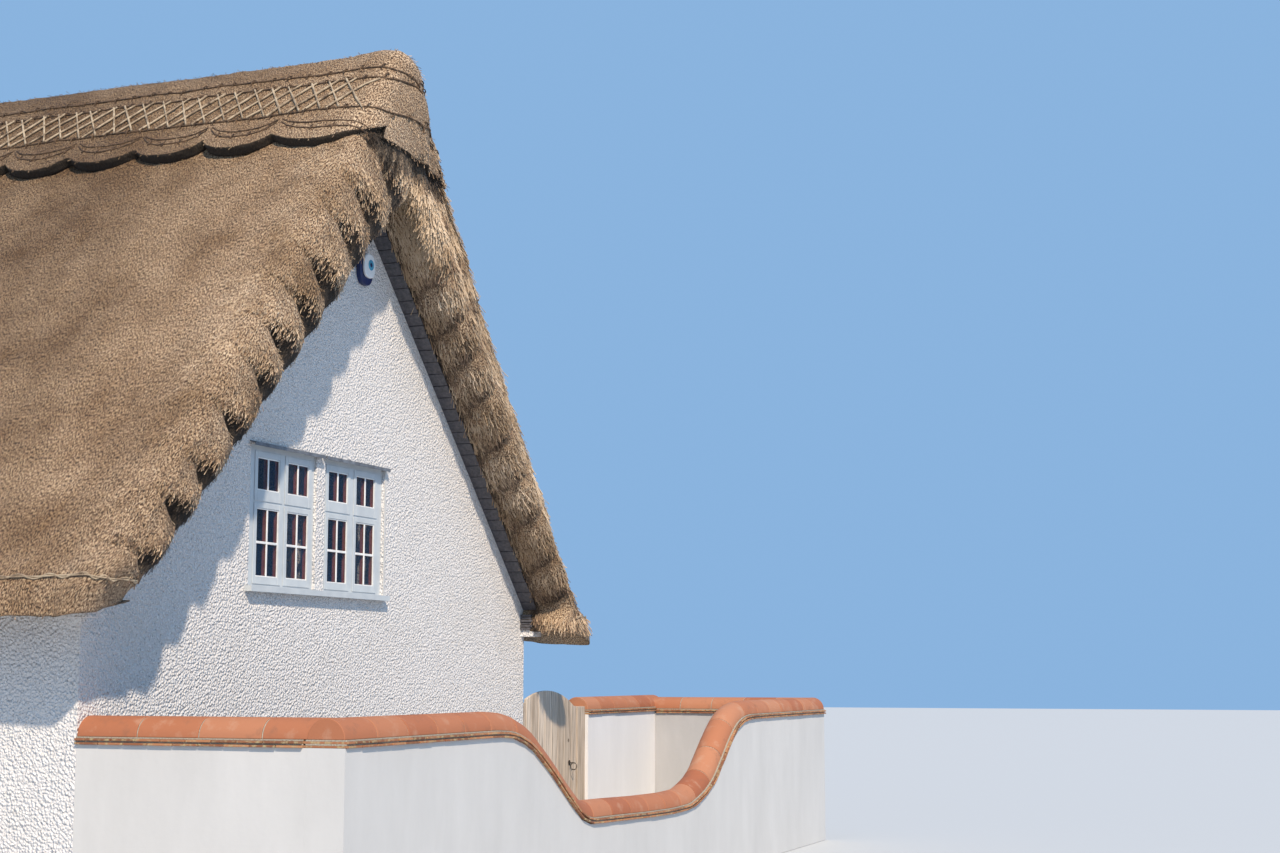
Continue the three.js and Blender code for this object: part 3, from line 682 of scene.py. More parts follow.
fleck_tone = add_node(
    thatch, "ValToRGB",
    {"stops": [(0.37, straw_dark), (0.46, straw_brown), (0.53, straw_tan), (0.63, straw_pale)]},
    {"Fac": flecks.outputs["Fac"]})
aged = add_weather(thatch, place, fleck_tone.outputs["Color"])
# Painted shade: a value at each point darkens the straw towards the deep shade colour
hollow = add_node(thatch, "Attribute", {"attribute_name": "hollow"})
shaded = tint(thatch, aged, deep_shade, hollow.outputs["Fac"], 0.15, 0.9, 0.95)
bristle = add_node(thatch, "Bump", {"Strength": 1.0, "Distance": 0.012}, {"Height": flecks.outputs["Fac"]})
clumps = add_node(thatch, "TexNoise", {"Scale": 17.0, "Detail": 2.0}, {"Vector": place})
clumped = add_node(
    thatch, "Bump", {"Strength": 0.7, "Distance": 0.03},
    {"Height": clumps.outputs["Fac"], "Normal": bristle.outputs["Normal"]})
show(thatch, surface, shaded, clumped)

# Single straws: each has its own tone from brown to pale, darkened by painted shade and paled by painted
# light where its spot has them, with a faint waxy gloss
straws, surface = new_material("single_straws", 0.62)
tone = add_node(straws, "Attribute", {"attribute_name": "tone"})
place = add_node(straws, "TexCoord").outputs["Object"]
straw_tone = add_node(
    straws, "ValToRGB",
    {"stops": [(0.0, "#382e24"), (0.2, "#6e5b4c"), (0.42, "#a58b74"), (0.68, "#d3ba9a"), (1.0, "#e7d3b9")]},
    {"Fac": tone.outputs["Fac"]})
show(straws, surface, add_weather(straws, place, straw_tone.outputs["Color"]))

rows = coat_rows()
columns = coat_columns()
coats = {}
for side, side_name in ((-1, "left"), (1, "right")):
    points = coat_grid(side, rows, columns)
    normals, down = grid_frames(points, side)
    distance = np.broadcast_to(rows[..., 5], points.shape[:2])
    share, past_face = (np.broadcast_to(columns[None, :, k], points.shape[:2]) for k in (1, 3))
    at_front = points[..., 1] < half_way
    front_bunches = bunch_relief(points, distance, past_face, share, side < 0, 31 + side)
    rear_bunches = bunch_relief(points, distance, past_face, share, side > 0, 47 + side)
    relief, painted_shade_map, down_bunch = (np.where(at_front, f, r) for f, r in zip(front_bunches, rear_bunches))
    strides = np.linalg.norm(np.roll(points, -1, axis=1) - points, axis=2)[len(rows) // 2]
    round_run = np.broadcast_to(np.cumsum(np.append(0, strides[:-1]))[None, :], points.shape[:2])
    uneven = waves(points, round_run, distance, side) * smooth_step(share, 0.02, 0.3)
    relief = (relief + uneven) * smooth_step(distance, 0.0, 0.05)
    relief = relief - slack(side, points[..., 1], past_face, share, distance)
    points = settled(points + normals * relief[..., None], side, at_front, past_face, distance)
    normals, down = grid_frames(points, side)
    plumb_share = smooth_step(past_face, 0.26, 0.42) * (1 - smooth_step(square_distance(points), 0.9, 2.2))
    down = hang(normals, down, plumb_share)
    coats[side] = (points, normals)
    # Painted shadow: a dark band on the verge just below the ridge's hood, as if cast by the hood's lip
    hood_painted_shadow = smooth_step(points[..., 2], 5.33, 5.38) * (past_face > 0.3) * (distance < 1.1)
    painted_shade_map = np.maximum(painted_shade_map, 0.9 * hood_painted_shadow * (1 - smooth_step(share, 0.9, 0.98)))
    coat = grid_piece(f"thatch_coat_{side_name}", points)
    set_values(coat, "hollow", painted_shade_map)
    lay_straw_map(coat, round_run, distance)
    face_outwards(coat)
    hand_over(coat, f"thatch_coat_{side_name}", thatch, replaced=[f"thatch_{side_name}"])
    slope = (share > 0.99) * (distance > 1.0) * (distance < 5.66)
    strew(f"slope_straw_{side_name}", (points, normals, down), slope, slope_straws[side],
          slope_straw_size, lift=0.22, wander=0.4, shade=painted_shade_map)
    shaggy = np.where(share > 0.5, smooth_step(past_face, 0.05, 0.3), (past_face > 0.15))
    shaggy = shaggy * ((distance > first_bunch) | (points[..., 2] < 5.5)) * (distance < 5.5)
    for end, here in (("front", at_front), ("rear", ~at_front)):
        fringe = (0.25 + smooth_step(down_bunch, 0.15, 0.8)) * (1 - 0.5 * painted_shade_map)
        rolled = (end == "front") == (side < 0)
        if rolled:
            size, lift = rolled_straw_size, 0.15
            # Painted light: the rolled verge's straws are paler high up and a little darker towards the eaves
            painted_light_paling = 0.2 - 0.25 * smooth_step(distance, 3.0, 5.0)
        else:
            size, lift = plain_straw_size, 0.08
            # Painted light: the plain verge's straws are made much paler, less so towards the eaves
            painted_light_paling = 0.6 - 0.5 * smooth_step(distance, 4.6, eaves_turn)
        strew(f"verge_straw_{end}_{side_name}", (points, normals, down), shaggy * here * fringe,
              verge_straws[end, side], size, lift, wander=0.22, shade=painted_shade_map, painted_light_paling=painted_light_paling)

# Ridge
# A wrap-over saddle of fresh straw on both slopes, its lower edges cut in scallops and its ends turned
# down over the verges. Split hazel rods, crossed in a lattice, hold it, each pinned by twisted spars.

ridge_low, ridge_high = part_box("ridge_cap")
ridge_thickness = 0.08
saddle_rows = 44
inner_rows = [32, 20, 8]
lip_shares = (0.97, 0.6, 0.25, 0.0)
# Painted shade on the saddle's lip, row by row
lip_painted_shade = (1.0, 1.0, 1.0, 0.9)
spine_step = 0.034
cusp_x = 0.725
scallop_depth = 0.1
end_scallop = 0.675
end_run = 0.16
nose_end = 0.3
scallop_count = 15
scallop_pitch = (ridge_high.y - ridge_low.y - 2 * end_scallop) / scallop_count
rod_distances = [0.39, 0.53, 0.92]
rod_rises = [0.55, 0.62, 0.25]
rod_thickness, rod_lift = 0.016, 0.004
rod_step = 0.05
lattice_pitch = 0.162
lattice_leans = [0.235, 0.29]
lattice_thickness, lattice_lift = 0.017, 0.012
scallop_rods = [(0.95, 0.2), (0.94, 0.14)]
scallop_rod_thickness, scallop_rod_lift = 0.013, 0.003
scallop_spar_start, scallop_spar_sweep = 0.955, 0.19
spar_spacing = 0.155
spar_thickness = 0.011
# A spar bends over its rod: how far across the rod its four points lie, and how high
spar_across = np.array([-0.04, -0.014, 0.014, 0.04])
spar_lifts = np.array([[-0.004], [0.016], [0.016], [-0.004]])
ridge_straws = 10000
ridge_straw_size = (0.042, 0.005)


def level_cut(share, height):
    """How far from the ridge line, in x, a level line at this height meets each share of the coat."""
    top = under_apex * (1 - share) + thatch_line * share
    fall = under_fall * wall_x / shoulder_x * (1 - share) + thatch_fall * share
    return (top - height) / fall


def scallop_edge(stations):
    """How far from the ridge line, in x, the saddle reaches: scallops, and a level hood at each end."""
    share, run = stations[:, 1], stations[:, 4]
    from_end = np.minimum(run - ridge_low.y, ridge_high.y - run)
    t = ((run - ridge_low.y - end_scallop) / scallop_pitch) % 1
    t = np.where(from_end < end_scallop, (from_end + end_run) / (end_scallop + end_run), t)
    bow = np.sqrt(np.clip(1 - (2 * np.clip(t, 0, 1) - 1) ** 2, 0, 1))
    reach = cusp_x - 0.085 * smooth_step(-from_end, -nose_end, end_run) + scallop_depth * bow
    height = np.where(from_end > -end_run, thatch_line - thatch_fall * reach, hood_foot)
    return np.maximum(level_cut(share, height), 0.03)


def over_coat(side, x, stations, height):
    """Points over the coat at each x (rows) and station (columns), a share of the saddle's height up."""
    base = coat_grid(side, slope_stations(x), stations)
    normals, down = grid_frames(base, side, closed=False)
    uneven = 0.008 * soft_noise(base, 0.3, 15) + 0.005 * soft_noise(base, 0.06, 16)
    y, share, past, run = (stations[:, k] for k in (0, 1, 3, 4))
    from_end = np.minimum(run - ridge_low.y, ridge_high.y - run)
    lip_taper = 0.6 * (1 - smooth_step(from_end, -end_run, nose_end)) * smooth_step(x, 0.55, 0.72)
    on_nose = smooth_step(1 - share, 0.0, 0.25)
    thin = 1 - lip_taper * (1 - on_nose) - 0.35 * on_nose
    crest = 0.032 * smooth_step(past, -0.15, 0.25) * smooth_step(share, 0.85, 1.0) * np.exp(-(x / 0.3) ** 2)
    blunt = 0.045 * smooth_step(past, 0.33, 0.42) * smooth_step(share, 0.7, 0.9) * np.exp(-(x / 0.4) ** 2)
    lean = slack(side, y, past, share, x * slope_factor) + blunt
    rise = (ridge_thickness * thin + crest + uneven) * height - lean
    return base + normals * rise[..., None], normals, down


# The saddle's stations run round the rear verge, along the ridge and round the front verge
outside = columns[(columns[:, 1] > 0.23) & (columns[:, 3] < 0.6) & (columns[:, 1] < 0.9999)]
rear_nose = outside[outside[:, 0] > half_way]
front_nose = outside[outside[:, 0] < half_way]
spine_y = np.arange(rear_face + 0.27, gable_face - 0.28, -spine_step)
spine_past = np.maximum(gable_face - spine_y, spine_y - rear_face)
spine = np.stack([spine_y, np.ones_like(spine_y), np.zeros_like(spine_y), spine_past], -1)
stations = np.concatenate([rear_nose, spine, front_nose])
plain = coat_grid(1, slope_stations(np.full((1, len(stations)), 0.45)), stations)[0]
run = np.cumsum(np.append(0, np.linalg.norm(np.diff(plain, axis=0), axis=1)))
unrolled = spine_y[0] + run[len(rear_nose)] - run
stations = np.column_stack([stations, unrolled])
# Its rows lie evenly down to the scallops' roots, and only the last ones follow the cut edge
edge = scallop_edge(stations)
root = np.minimum(cusp_x, edge)
down_share = np.linspace(0, 1, saddle_rows)[:, None]
x = root * down_share + (edge - root) * down_share ** 6
lookup_step = 0.02
lookup_x = np.arange(0, 1.1, lookup_step)[:, None] * np.ones(len(stations))
halves, saddle_faces = {}, {}
for side, side_name in ((-1, "left"), (1, "right")):
    outer, normals, down = over_coat(side, x, stations, 1)
    inner = over_coat(side, x, stations, 0.04)[0]
    lip = [inner[-1] * (1 - k) + outer[-1] * k for k in lip_shares]
    outer[-1] = outer[-1] - down[-1] * 0.012
    halves[side] = np.concatenate([outer, np.stack(lip), inner[inner_rows]])
    saddle_faces[side] = over_coat(side, lookup_x, stations, 1)[:2]
    open_face = (np.arange(len(stations)) < len(stations) - 1) * np.ones(x.shape)
    lie = hang(normals, down, smooth_step(stations[:, 3], 0.2, 0.4) * np.ones(x.shape))
    strew(f"ridge_straw_{side_name}", (outer, normals, lie), open_face, ridge_straws,
          ridge_straw_size, lift=0.16, wander=0.3)
# Both halves, each from its crest over the lip and back below, make one closed loop
lip_run = x[-1:] * slope_factor + np.array([[0.01], [0.03], [0.06], [0.08]])
half_run = np.concatenate([x * slope_factor, lip_run, x[inner_rows] * slope_factor])
loop = np.concatenate([halves[1], halves[-1][1:][::-1]]).transpose(1, 0, 2)
distance = np.concatenate([half_run, half_run[1:][::-1]]).T
saddle = grid_piece("ridge_saddle", loop)
# Painted shade: the saddle's cut lip and its underside are painted dark
half_painted_shade = np.concatenate([np.zeros(len(x)), lip_painted_shade, np.ones(len(inner_rows))])
loop_painted_shade = np.concatenate([half_painted_shade, half_painted_shade[1:][::-1]])
set_values(saddle, "hollow", np.ones((len(stations), 1)) * loop_painted_shade[None, :])
lay_straw_map(saddle, np.broadcast_to(run[:, None], distance.shape), distance)
face_outwards(saddle)
hand_over(saddle, "ridge_saddle", thatch, replaced=["ridge_cap"])


def on_saddle(side, distance, along, lift):
    """Points a distance down the saddle and a length along it, raised by lift."""
    i = np.clip(np.asarray(distance) / slope_factor / lookup_step, 0, len(lookup_x) - 2)
    j = np.clip(np.interp(-np.asarray(along), -unrolled, np.arange(len(unrolled))), 0, len(unrolled) - 2)
    i, j = np.broadcast_arrays(i, j)
    low_i, low_j = i.astype(int), j.astype(int)
    s, t = (i - low_i)[:, None], (j - low_j)[:, None]
    face, out = saddle_faces[side]
    spots = []
    for grid in (face, out):
        near = grid[low_i, low_j] * (1 - t) + grid[low_i, low_j + 1] * t
        far = grid[low_i + 1, low_j] * (1 - t) + grid[low_i + 1, low_j + 1] * t
        spots.append(near * (1 - s) + far * s)
    return spots[0] + spots[1] * lift


def bent_rods(name, paths, thickness, material):
    """Round rods along paths, each a little uneven in thickness, handed over as one piece."""
    curve = bpy.data.curves.new(name, "CURVE")
    curve.dimensions = "3D"
    curve.bevel_depth = thickness / 2
    curve.bevel_resolution = 1
    curve.use_fill_caps = True
    for path in paths:
        spline = curve.splines.new("POLY")
        spline.points.add(len(path) - 1)
        flat = np.concatenate([path, np.ones((len(path), 1))], axis=1)
        spline.points.foreach_set("co", flat.ravel())
        spline.points.foreach_set("radius", chance.uniform(0.75, 1.15, len(path)))
    piece = bpy.data.objects.new(name, curve)
    bpy.context.scene.collection.objects.link(piece)
    take_up(piece)
    bpy.ops.object.convert(target="MESH")
    hand_over(bpy.context.object, name, material)


# Split hazel: brown bark on one side and a paler split face, silvered by weather
hazel = mottled(
    "split_hazel", 0.8, [(0.3, "#41352b"), (0.42, "#86745f"), (0.58, "#b5a48b")], (14.0, 5.0, 0.7))
# Twisted hazel: its torn fibres hold the wet, so it stays darker
twisted = mottled("twisted_hazel_spar", 0.85, [(0.35, "#30241b"), (0.7, "#6b543e")], (30.0, 4.0, 0.5))

long_rods, lattice, bows, spars = [], [], [], []
rod_run = np.arange(unrolled[0], unrolled[-1], -rod_step)
share_on_run = np.interp(-rod_run, -unrolled, stations[:, 1])
for side in (-1, 1):
    for distance, rod_rise in zip(rod_distances, rod_rises):
        # round each verge a rod runs level, rising a little to meet its twin below the ridge's end
        level = thatch_line - thatch_fall * distance / slope_factor + rod_rise * (1 - share_on_run)
        reach = np.minimum(distance, level_cut(share_on_run, level) * slope_factor)
        kept = np.flatnonzero(reach > 0)
        kept = np.arange(max(kept[0] - 1, 0), min(kept[-1] + 2, len(reach)))
        beside = np.stack([rod_run, np.full_like(rod_run, side), np.zeros_like(rod_run)], -1)
        wander = 0.006 * soft_noise(beside, 0.4, 17)
        line = np.maximum(reach + wander, 0)
        long_rods.append(on_saddle(side, line[kept], rod_run[kept], rod_lift))
        for spot in np.arange(rod_run[kept[-1]] + 0.08, rod_run[kept[0]] - 0.08, spar_spacing):
            near = np.interp(-spot, -rod_run, line)
            reach = near + chance.normal(0, 0.004) + spar_across
            pin = spot + chance.normal(0, 0.015) + np.array([-0.006, 0, 0.002, 0.008])
            spars.append(on_saddle(side, reach, pin, spar_lifts))
    for start in np.arange(ridge_low.y + 0.04, ridge_high.y - 0.28, lattice_pitch):
        for k, lattice_lean in enumerate(lattice_leans):
            # the first of each pair climbs from the lowest rod to the middle one, the second falls back
            first, last = rod_distances[2 - k], rod_distances[1 + k]
            t = np.linspace(0, 1, 5)
            lean = lattice_lean * (1 + chance.normal(0, 0.06))
            begin = start + chance.normal(0, 0.006)
            lattice.append(on_saddle(side, first + (last - first) * t, begin + lean * t, lattice_lift))
    for k in range(-1, scallop_count + 1):
        begin = ridge_low.y - end_run if k < 0 else ridge_low.y + end_scallop + k * scallop_pitch
        span = scallop_pitch if 0 <= k < scallop_count else end_scallop + end_run
        t = np.linspace(0.13 if k < 0 else 0.03, 0.87 if k == scallop_count else 0.97, 13)
        bow = np.sqrt(1 - (2 * t - 1) ** 2)
        for reach, sweep in scallop_rods:
            bows.append(on_saddle(side, reach + sweep * bow, begin + span * t, scallop_rod_lift))
        for j in (1, 4, 7, 10):
            reach = scallop_spar_start + scallop_spar_sweep * bow[j] + np.array([-0.03, 0, 0.03])
            pin = begin + span * t[j] + np.array([-0.004, 0, 0.004])
            spars.append(on_saddle(side, reach, pin, 0.006))
bent_rods("ridge_long_rods", long_rods, rod_thickness, twisted)
bent_rods("ridge_lattice", lattice, lattice_thickness, hazel)
bent_rods("ridge_scallop_rods", bows, scallop_rod_thickness, twisted)
bent_rods("ridge_spars", spars, spar_thickness, twisted)

# Eaves rods
# Two split hazel rods, one wound loosely about the other, run along each eaves and round both verges.
# They hold down the lowest course of straw.

eaves_rod_thickness = 0.012
eaves_rod_row = len(rows) - soffit_rows - eaves_rows + 3
on_show = columns[:, 1] > 0.2
in_rear_half = columns[:, 0] >= half_way
eaves_rods = []
for side in (-1, 1):
    points, normals = coats[side]
    run = points[eaves_rod_row] + normals[eaves_rod_row] * eaves_rod_thickness
    whole = np.concatenate([run[on_show & in_rear_half], run[on_show & ~in_rear_half]])
    eaves_rods.append(whole)
    eaves_rods.append(whole + np.array([0, 0, 0.014]) * np.sin(np.arange(len(whole)))[:, None])
bent_rods("eaves_rods", eaves_rods, eaves_rod_thickness, hazel)

# Gable and side windows
# Softwood frames and sashes in blue grey paint. The gable pairs have square toplights over casements,
# glazed in white putty with 17 mm bars. Behind the panes the bars are stained red brown.

light_width = 0.28
casement_height, casement_foot = 0.464, 2.302
toplight_height, toplight_foot = 0.224, 2.888
gable_stile = 0.036
gable_lights = {"left": (-1.235, -0.848), "right": (-0.292, 0.113)}
side_light_width, side_light_height, side_light_foot = 0.335, 0.64, 0.98
side_stile = 0.030
side_light_starts = (-0.37, 0.035)
side_windows = {"left_window_1": (-1, 2.6), "left_window_2": (-1, 6.4), "right_window_1": (1, 6.8)}
glass_thickness = 0.004
bar_width = 0.017
putty_width = 0.008
inner_bar_rim = 0.005
inner_bar_back = 0.054
sash_proud = 0.0055
frame_face = 0.0198
putty_face = frame_face - 0.001
outer_glass = 0.0262
# Pieces stand a hair apart, so that no two share a face
fit = 0.0004
bar_gap = 0.0002
lip_proud, lip_drop, lip_rise = 0.0032, 0.016, 0.0085

# Blue grey gloss: softly worn, a little darker in streaks
frame_paint = mottled("blue_grey_gloss_paint", 0.42, [(0.3, "#b9c1c7"), (0.7, "#c8cfd3")], (9.0, 5.0, 0.6))

# White putty and glazing bars: gloss white, thinly soiled
white_gloss = mottled("white_gloss_paint", 0.4, [(0.3, "#dfe1e2"), (0.6, "#f4f4f2")], (14.0, 4.0, 0.5))

# Red brown stained softwood, seen through the panes
inner_stain = mottled("red_brown_wood_stain", 0.55, [(0.3, "#a85a44"), (0.7, "#cc7c62")], (24.0, 4.0, 0.5))

# Window glass: thin clear panes, tinted navy as painted shade of the dark room behind them and painted
# reflection of the blue sky
navy_painted_pane_glass = mottled(
    "clear_glass_painted_navy", 0.04, [(0.3, "#152338"), (0.7, "#1f3350")], (5.0, 2.0, 0.5), Alpha=0.32)


def ring(outside, inside, near, far, ease):
    """Four blocks round an opening. Both are given as left, right, bottom and top."""
    left, right, bottom, top = outside
    inner_left, inner_right, inner_bottom, inner_top = inside
    return [
        block((left, near, bottom), (inner_left, far, top), ease, 1),
        block((inner_right, near, bottom), (right, far, top), ease, 1),
        block((inner_left, near, bottom), (inner_right, far, inner_bottom), ease, 1),
        block((inner_left, near, inner_top), (inner_right, far, top), ease, 1),
    ]


def draw_light(width, height, stile, below, above, uprights, crossbars):
    """One light from its lower left corner, the wall's face at y 0: sash, putty, pane and inner bars."""
    sash = ring((-stile, width + stile, -below, height + above), (0, width, 0, height),
                frame_face - sash_proud, frame_face, 0.002)
    rim = (fit, width - fit, fit, height - fit)
    putty_back = outer_glass - fit
    white = ring(rim, (putty_width, width - putty_width, putty_width, height - putty_width),
                 putty_face, putty_back, 0.001)
    inner_face = outer_glass + glass_thickness + fit
    inner = ring(rim, (inner_bar_rim, width - inner_bar_rim, inner_bar_rim, height - inner_bar_rim),
                 inner_face, inner_bar_back, 0.001)
    half = bar_width / 2
    for k in range(1, uprights + 1):
        left, right = width * k / (uprights + 1) - half, width * k / (uprights + 1) + half
        for bars, face, back, margin in ((white, putty_face, putty_back, putty_width),
                                         (inner, inner_face, inner_bar_back, inner_bar_rim)):
            foot = margin + bar_gap
            bars.append(block((left, face, foot), (right, back, height - foot), 0.002, 1))
    for k in range(1, crossbars + 1):
        foot, head = height * k / (crossbars + 1) - half, height * k / (crossbars + 1) + half
        for j in range(uprights + 1):
            left = width * j / (uprights + 1) + (half if j else putty_width) + bar_gap
            right = width * (j + 1) / (uprights + 1) - (half if j < uprights else putty_width) - bar_gap
            white.append(block((left, putty_face, foot), (right, putty_back, head), 0.002, 1))
            inner.append(block((left, inner_face, foot), (right, inner_bar_back, head), 0.002, 1))
    pane = block((2 * fit, outer_glass, 2 * fit),
                 (width - 2 * fit, outer_glass + glass_thickness, height - 2 * fit), 0.0004, 1)
    return [joined(sash), joined(white), pane, joined(inner)]


casement = draw_light(
    light_width, casement_height, gable_stile, below=0.050, above=0.036, uprights=1, crossbars=1)
toplight = draw_light(
    light_width, toplight_height, gable_stile, below=0.074, above=0.042, uprights=1, crossbars=0)
side_light = draw_light(
    side_light_width, side_light_height, side_stile, below=0.045, above=0.035, uprights=1, crossbars=1)
to_front = Matrix.Translation((0, gable_face, 0))
to_rear = Matrix.Translation((0, rear_face, 0)) @ Matrix.Rotation(math.pi, 4, "Z")
light_parts = [("sashes", frame_paint, "painted_wood"), ("putty_and_bars", white_gloss, "painted_wood"),
               ("panes", navy_painted_pane_glass, "window_glass"), ("inner_bars", inner_stain, "painted_wood")]
window_places = {}
for end, to_wall in (("front", to_front), ("rear", to_rear)):
    for pair, starts in gable_lights.items():
        lights = []
        for start in starts:
            left = start if end == "front" else -start - light_width
            lights.append((casement, to_wall @ Matrix.Translation((left, 0, casement_foot))))
            lights.append((toplight, to_wall @ Matrix.Translation((left, 0, toplight_foot))))
        window_places[f"{end}_{pair}_window"] = lights
for node_name, (side, centre) in side_windows.items():
    to_wall = Matrix.Translation((side * half_house, centre, 0)) @ Matrix.Rotation(side * math.pi / 2, 4, "Z")
    window_places[node_name] = [(side_light, to_wall @ Matrix.Translation((left, 0, side_light_foot)))
                                for left in side_light_starts]
for node_name, lights in window_places.items():
    dress(f"{node_name}_frame", frame_paint)
    for part, (part_name, material, slot) in enumerate(light_parts):
        copies = [copy_at(light[part], matrix) for light, matrix in lights]
        hand_over(joined(copies), f"{node_name}_{part_name}", material,
                  replaced=[f"{node_name}_glass"] if part_name == "panes" else ())
for pattern in casement + toplight + side_light:
    bpy.data.objects.remove(pattern)
for end in ("front", "rear"):
    dress(f"{end}_window_sill", frame_paint)

# Head flashings: dull grey sheet lead, bloomed white in places, its lower edge dressed down to a lip
lead = mottled(
    "weathered_sheet_lead", 0.6, [(0.35, "#5e626a"), (0.6, "#7f858d"), (0.8, "#a5aab0")],
    (11.0, 6.0, 0.65), metallic=0.35)
for pair in ("left", "right"):
    node_name = f"front_{pair}_flashing"
    dress(node_name, lead)
    low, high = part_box(node_name)
    lip = block((low.x, low.y - lip_proud, low.z - lip_drop),
                (high.x, low.y - fit, low.z + lip_rise), 0.0012, 1)
    hand_over(lip, f"{node_name}_lip", lead)

# Side door
# A plank door painted dull blue, made from five boards with open joints on a plain leaf. It hangs on two
# iron straps and shuts with a thumb latch.

door_middle = 4.1
leaf_half = 0.3897
plank_count = 5
plank_gap = 0.003
plank_pitch = 2 * leaf_half / plank_count
plank_foot, plank_head = 0.104, 1.816
plank_face, plank_back = 0.0557, 0.0598
strap_heights = (0.42, 1.5)
strap_left, strap_right = -0.385, 0.1
strap_width = 0.04
strap_face, strap_back = 0.0512, 0.0555


def fix_in_place(pieces, to_place, name, material, replaced=()):
    """Joins pieces, moves them from where they were drawn to their place and hands them over."""
    whole = joined(pieces)
    whole.data.transform(to_place)
    hand_over(whole, name, material, replaced=replaced)


# Dull blue oil paint: chalky, paler where it has weathered
door_blue = mottled("dull_blue_door_paint", 0.55, [(0.3, "#71899e"), (0.7, "#8aa2b6")], (7.0, 6.0, 0.6))

# Wrought iron: near black with a brown cast where it has rusted
iron = mottled(
    "wrought_iron", 0.55, [(0.4, "#35322f"), (0.62, "#4d4038"), (0.8, "#6b4a36")],
    (40.0, 5.0, 0.7), metallic=0.7)

to_door = Matrix.Translation((half_house, door_middle, 0)) @ Matrix.Rotation(math.pi / 2, 4, "Z")
planks = []
for k in range(plank_count):
    left = -leaf_half + k * plank_pitch + plank_gap / 2
    planks.append(block((left, plank_face, plank_foot),
                        (left + plank_pitch - plank_gap, plank_back, plank_head), 0.0015, 1))
fix_in_place(planks, to_door, "door_boards", door_blue)
fittings = []
for height in strap_heights:
    foot, head = height - strap_width / 2, height + strap_width / 2
    fittings.append(block((strap_left, strap_face, foot), (strap_right, strap_back, head), 0.0015, 1))
latch_plate = block((0.29, strap_face, 0.93), (0.335, strap_back, 1.09), 0.0015, 1)
latch_thumb = block((0.300, 0.0150, 0.985), (0.325, strap_face - 0.0001, 1.005), 0.003, 1)
fix_in_place(fittings + [latch_plate, latch_thumb], to_door, "door_ironwork", iron)
dress("door_frame", frame_paint)
dress("door_leaf", door_blue)

# Alarm box
# A moulded plastic box screwed to the wall near the gable's apex. It has a dark blue back case and a
# rounded white cover with a round blue lens.

alarm_place = (0.114, gable_face, 4.671)
alarm_plates = [
    # name, finish, width and height, squareness, thickness, eased edge, place on the case
    ("alarm_case", "navy_plastic", (0.2, 0.245), 0.8, 0.036, 0.006, (0, 0, 0)),
    ("alarm_cover", "white_plastic", (0.165, 0.185), 0.8, 0.024, 0.009, (0.012, 0.026, 0.0364)),
    ("alarm_lens", "blue_lens_plastic", (0.082, 0.082), 1.0, 0.0012, 0.0005, (0.022, 0.034, 0.0606)),
    ("alarm_eye", "navy_plastic", (0.034, 0.034), 1.0, 0.0006, 0.0002, (0.022, 0.034, 0.0619)),
]
plastic_tones = {"navy_plastic": ("#14224a", "#1c2f63"), "white_plastic": ("#e6ebef", "#f3f6f8"),
                 "blue_lens_plastic": ("#3d93b8", "#58b4d4")}


def cut_plate(outline, thickness, ease, segments=2):
    """A plate lying in X and Y, cut to an outline, with its arrises eased."""
    start_fresh()
    bpy.ops.mesh.primitive_circle_add(vertices=len(outline), fill_type="NGON")
    plate = bpy.context.object
    for vertex, spot in zip(plate.data.vertices, outline):
        vertex.co = (spot[0], spot[1], 0)
    bpy.ops.object.mode_set(mode="EDIT")
    bpy.ops.mesh.select_all(action="SELECT")
    bpy.ops.mesh.extrude_region_move(TRANSFORM_OT_translate={"value": (0, 0, thickness)})
    bpy.ops.mesh.select_all(action="SELECT")
    bpy.ops.mesh.normals_make_consistent(inside=False)
    bpy.ops.mesh.bevel(offset=ease, segments=segments, affect="EDGES")
    bpy.ops.object.mode_set(mode="OBJECT")
    return bpy.context.object


def oval(width, height, squareness, count=36):
    """An outline that is an ellipse at squareness 1 and nearer to a rounded square below it."""
    turns = np.linspace(0, 2 * math.pi, count, endpoint=False)
    x, y = np.cos(turns), np.sin(turns)
    return np.stack([np.sign(x) * np.abs(x) ** squareness * width / 2,
                     np.sign(y) * np.abs(y) ** squareness * height / 2], -1)


# Moulded plastic: an even gloss, slightly chalked by the sun
plastics = {}
for finish, (darker, paler) in plastic_tones.items():
    plastics[finish] = mottled(finish, 0.35, [(0.3, darker), (0.7, paler)], (18.0, 3.0, 0.5))

to_alarm = Matrix.Translation(alarm_place) @ Matrix.Rotation(math.pi / 2, 4, "X")
for piece_name, finish, size, squareness, thickness, ease, spot in alarm_plates:
    plate = cut_plate(oval(*size, squareness), thickness, ease)
    plate.data.transform(Matrix.Translation(spot))
    plate.data.transform(to_alarm)
    hand_over(plate, piece_name, plastics[finish],
              replaced=["alarm_box"] if piece_name == "alarm_case" else ())

# Yard walls
# Brick walls 240 mm thick in smooth limewashed render, laid with a dip in the front wall between its
# level ends. Their whites differ: the back wall's is the lightest, the right wall's a dull grey, the others
# between.

limewash_tones = {
    "smooth_limewashed_render": ("#c3c3c2", "#cacac9", "#d0d0cf"),
    "lighter_limewashed_render": ("#dcdcdd", "#e2e2e3", "#e7e7e8"),
    "darker_limewashed_render": ("#a9a9a9", "#b4b3b3", "#bebdbc"),
}
wall_finishes = {"front": "smooth_limewashed_render", "left": "smooth_limewashed_render",
                 "back": "lighter_limewashed_render", "right": "darker_limewashed_render"}
bead_left, bead_right = 0.5095, 0.537
bead_foot, bead_head = 2.2, 3.185

